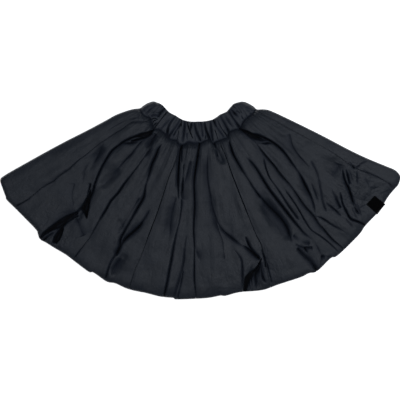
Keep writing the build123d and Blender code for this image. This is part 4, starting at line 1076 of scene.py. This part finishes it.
for i in range(9):
    a, b = (i + 0.25) / 9, (i + 0.8) / 9
    pa, pb = (np.array([np.interp(q, t, outer[6, :, c]) for c in (0, 1)]) + TURN_OUT * 0.1 for q in (a, b))
    rows.append(((pa[0], pa[1], 34.6), (pb[0], pb[1], 34.6)))
label_stitch = stitch_rows("hem_label_stitching", rows)
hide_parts("hem_label_stitches")

# ------------------------------------------------------------------ materials
def nodes_of(name):
    mat = bpy.data.materials.new(name)
    mat.use_nodes = True
    nt = mat.node_tree
    bsdf = nt.nodes["Principled BSDF"]
    return mat, nt, bsdf


def cloth(name, base, rough=0.6, spec=0.3, sheen=0.2, tint=(0.8, 0.88, 1.0), pitch=0.00042,
          vary=0.16, crumple=0.35, weave=0.5, use_uv=True):
    """Woven cloth: yarn relief, slubs, uneven colour and soft creasing."""
    mat, nt, bsdf = nodes_of(name)
    N, L = nt.nodes, nt.links
    co = N.new("ShaderNodeTexCoord")
    src = co.outputs["UV"] if use_uv else co.outputs["Object"]

    def wave(direction, scale, dist=0.0):
        w = N.new("ShaderNodeTexWave")
        w.wave_type = "BANDS"
        w.bands_direction = direction
        w.wave_profile = "SIN"
        w.inputs["Scale"].default_value = scale
        w.inputs["Distortion"].default_value = dist
        w.inputs["Detail"].default_value = 1.0
        L.new(src, w.inputs["Vector"])
        return w.outputs["Fac"]

    def math_node(op, a, b=None, c=None):
        m = N.new("ShaderNodeMath")
        m.operation = op
        for i, q in enumerate((a, b, c)):
            if q is None:
                continue
            if isinstance(q, (int, float)):
                m.inputs[i].default_value = q
            else:
                L.new(q, m.inputs[i])
        return m.outputs[0]

    def noise_tex(scale, detail=2.0, rough_=0.5, vec=None):
        n = N.new("ShaderNodeTexNoise")
        n.inputs["Scale"].default_value = scale
        n.inputs["Detail"].default_value = detail
        n.inputs["Roughness"].default_value = rough_
        L.new(vec or co.outputs["Object"], n.inputs["Vector"])
        return n.outputs["Fac"]

    k = 0.314159 / pitch
    warp, weft = wave("X", k, 0.6), wave("Y", k, 0.6)
    yarn = math_node("MAXIMUM", math_node("MULTIPLY", warp, math_node("SUBTRACT", 1.0, weft)),
                     math_node("MULTIPLY", weft, math_node("SUBTRACT", 1.0, warp)))
    slub = noise_tex(1400.0, 2.0)
    patch = noise_tex(22.0, 3.0, 0.6)
    speck = noise_tex(420.0, 3.0, 0.6)
    # colour
    tone = math_node("ADD", math_node("MULTIPLY", patch, 0.6), math_node("MULTIPLY", speck, 0.4))
    tone = math_node("MULTIPLY_ADD", math_node("SUBTRACT", tone, 0.5), vary * 4, 1.0)
    yarn_tone = math_node("MULTIPLY_ADD", yarn, 0.35, 0.84)
    tone = math_node("MULTIPLY", tone, yarn_tone)
    # painted shade: cloth deep in a crease, in a pocket or at a rolled edge is darkened in its base colour, and it is
    # also made rougher
    deep = N.new("ShaderNodeAttribute")
    deep.attribute_name = "painted_shade"
    tone = math_node("MULTIPLY", tone, math_node("MAXIMUM", math_node("MULTIPLY_ADD", deep.outputs["Fac"], -0.86, 1.0), 0.05))
    col = N.new("ShaderNodeVectorMath")
    col.operation = "SCALE"
    col.inputs[0].default_value = base
    L.new(tone, col.inputs["Scale"])
    # painted shade: the darkened cloth is also tinted towards blue
    shift = N.new("ShaderNodeCombineXYZ")
    L.new(math_node("MULTIPLY_ADD", deep.outputs["Fac"], -0.34, 1.0), shift.inputs[0])
    L.new(math_node("MULTIPLY_ADD", deep.outputs["Fac"], -0.08, 1.0), shift.inputs[1])
    L.new(math_node("MULTIPLY_ADD", deep.outputs["Fac"], 0.42, 1.0), shift.inputs[2])
    cool = N.new("ShaderNodeVectorMath")
    cool.operation = "MULTIPLY"
    L.new(col.outputs["Vector"], cool.inputs[0])
    L.new(shift.outputs["Vector"], cool.inputs[1])
    L.new(cool.outputs["Vector"], bsdf.inputs["Base Color"])
    # roughness
    ro = math_node("MULTIPLY_ADD", math_node("SUBTRACT", speck, 0.5), 0.16, rough)
    ro = math_node("MULTIPLY_ADD", math_node("SUBTRACT", patch, 0.5), 0.12, ro)
    ro = math_node("MULTIPLY_ADD", deep.outputs["Fac"], 0.5, ro)
    L.new(ro, bsdf.inputs["Roughness"])
    # relief
    small = noise_tex(95.0, 4.0, 0.55)
    fine = noise_tex(330.0, 3.0, 0.55)
    b1 = N.new("ShaderNodeBump")
    b1.inputs["Strength"].default_value = crumple
    b1.inputs["Distance"].default_value = 0.0016
    L.new(small, b1.inputs["Height"])
    b2 = N.new("ShaderNodeBump")
    b2.inputs["Strength"].default_value = crumple * 0.8
    b2.inputs["Distance"].default_value = 0.0004
    L.new(fine, b2.inputs["Height"])
    L.new(b1.outputs["Normal"], b2.inputs["Normal"])
    b3 = N.new("ShaderNodeBump")
    b3.inputs["Strength"].default_value = weave
    b3.inputs["Distance"].default_value = 0.00009
    L.new(math_node("MULTIPLY_ADD", slub, 0.35, yarn), b3.inputs["Height"])
    L.new(b2.outputs["Normal"], b3.inputs["Normal"])
    L.new(b3.outputs["Normal"], bsdf.inputs["Normal"])
    bsdf.inputs["Specular IOR Level"].default_value = spec
    bsdf.inputs["Sheen Weight"].default_value = sheen
    bsdf.inputs["Sheen Roughness"].default_value = 0.45
    bsdf.inputs["Sheen Tint"].default_value = (*tint, 1.0)
    return mat


shell = cloth("black_polyamide_shell", (0.0105, 0.0138, 0.0198), rough=0.46, spec=0.22, sheen=0.0)
band_mat = cloth("black_polyamide_band", (0.0175, 0.0214, 0.0286), rough=0.52, spec=0.24, sheen=0.0, crumple=0.5)
lining = cloth("black_taffeta_lining", (0.010, 0.011, 0.014), rough=0.45, spec=0.4, sheen=0.05, pitch=0.00025, crumple=0.2)
tape = cloth("black_woven_label_tape", (0.0012, 0.0012, 0.0013), rough=0.85, spec=0.04, sheen=0.0, pitch=0.0007, vary=0.1, crumple=0.1, weave=0.7)
thread = cloth("black_polyester_thread", (0.007, 0.008, 0.010), rough=0.5, spec=0.3, sheen=0.1, pitch=0.0002, use_uv=False, crumple=0.1)
elastic = cloth("white_woven_elastic", (0.62, 0.62, 0.60), rough=0.8, spec=0.2, sheen=0.2, tint=(1, 1, 1), pitch=0.0012, use_uv=False, vary=0.06, crumple=0.1, weave=0.9)
batt = cloth("white_polyester_batt", (0.75, 0.75, 0.73), rough=0.9, spec=0.1, sheen=0.3, tint=(1, 1, 1), pitch=0.002, use_uv=False, vary=0.08, crumple=0.8, weave=0.3)


def wear(ob, mat):
    ob.data.materials.clear()
    ob.data.materials.append(mat)


for ob in made:
    n = ob.name
    if n.startswith("waistband"):
        wear(ob, band_mat)
    elif n.startswith("lining"):
        wear(ob, lining)
    elif "stitch" in n or "zigzag" in n:
        wear(ob, thread)
    else:
        wear(ob, shell)
    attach(ob, "skirt")
for ob in (tail,):
    wear(ob, tape)
    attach(ob, "skirt")
wear(elastic_ob, elastic)
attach(elastic_ob, "skirt")
wear(label, tape)
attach(label, "hem_label_flap")

CAD_LOOK = {
    "waist_seam_thread": thread,
}
for node, mat in CAD_LOOK.items():
    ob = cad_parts[node]
    if not ob.material_slots:
        ob.data.materials.append(mat)
    for s in ob.material_slots:
        s.material = mat

# ------------------------------------------------------------------ stage
def stage_floor():
    me = bpy.data.meshes.new("floor")
    s = 12.0
    me.from_pydata([(-s, -s, 0), (s, -s, 0), (s, s, 0), (-s, s, 0)], [], [(0, 1, 2, 3)])
    ob = bpy.data.objects.new("floor", me)
    ob.location.z = -0.0006
    bpy.context.scene.collection.objects.link(ob)
    mat, nt, bsdf = nodes_of("pale_floor")
    bsdf.inputs["Base Color"].default_value = (0.9, 0.9, 0.9, 1)
    bsdf.inputs["Roughness"].default_value = 0.9
    bsdf.inputs["Specular IOR Level"].default_value = 0.1
    bsdf.inputs["Emission Color"].default_value = (1, 1, 1, 1)
    bsdf.inputs["Emission Strength"].default_value = FLOOR_GLOW
    me.materials.append(mat)


FLOOR_GLOW = 0.80
stage_floor()
world = bpy.data.worlds.new("studio")
world.use_nodes = True
bg = world.node_tree.nodes["Background"]
bg.inputs["Color"].default_value = (1.0, 1.0, 1.0, 1)
bg.inputs["Strength"].default_value = 0.06
bpy.context.scene.world = world


def softbox(name, loc, aim, size, power):
    data = bpy.data.lights.new(name, "AREA")
    data.shape = "RECTANGLE"
    data.size, data.size_y = size
    data.energy = power
    data.color = (0.89, 0.93, 1.0)
    ob = bpy.data.objects.new(name, data)
    ob.location = loc
    d = np.array(aim, float) - np.array(loc, float)
    yaw = math.atan2(d[1], d[0])
    pitch = math.atan2(-d[2], math.hypot(d[0], d[1]))
    ob.rotation_euler = (math.pi / 2 - pitch, 0, yaw - math.pi / 2)
    bpy.context.scene.collection.objects.link(ob)
    return ob


softbox("dome", (-0.10, 0.15, 3.4), (-0.05, 0, 0), (5.0, 5.0), 72)
softbox("key", (0.45, 0.2, 3.3), (0.05, 0, 0), (1.3, 1.3), 13.0)
softbox("side", (1.35, 0.5, 1.8), (0.2, 0, 0), (0.9, 0.9), 7.5)

CAM_Z = 3.030
cam_data = bpy.data.cameras.new("camera")
cam_data.lens = 100
cam_data.sensor_width = 36
cam_data.clip_end = 50
cam = bpy.data.objects.new("camera", cam_data)
cam.location = (0, 0, CAM_Z)
cam.rotation_euler = (0, 0, 0)
bpy.context.scene.collection.objects.link(cam)
bpy.context.scene.camera = cam
bpy.context.scene.view_settings.view_transform = "Standard"
bpy.context.scene.view_settings.look = "None"
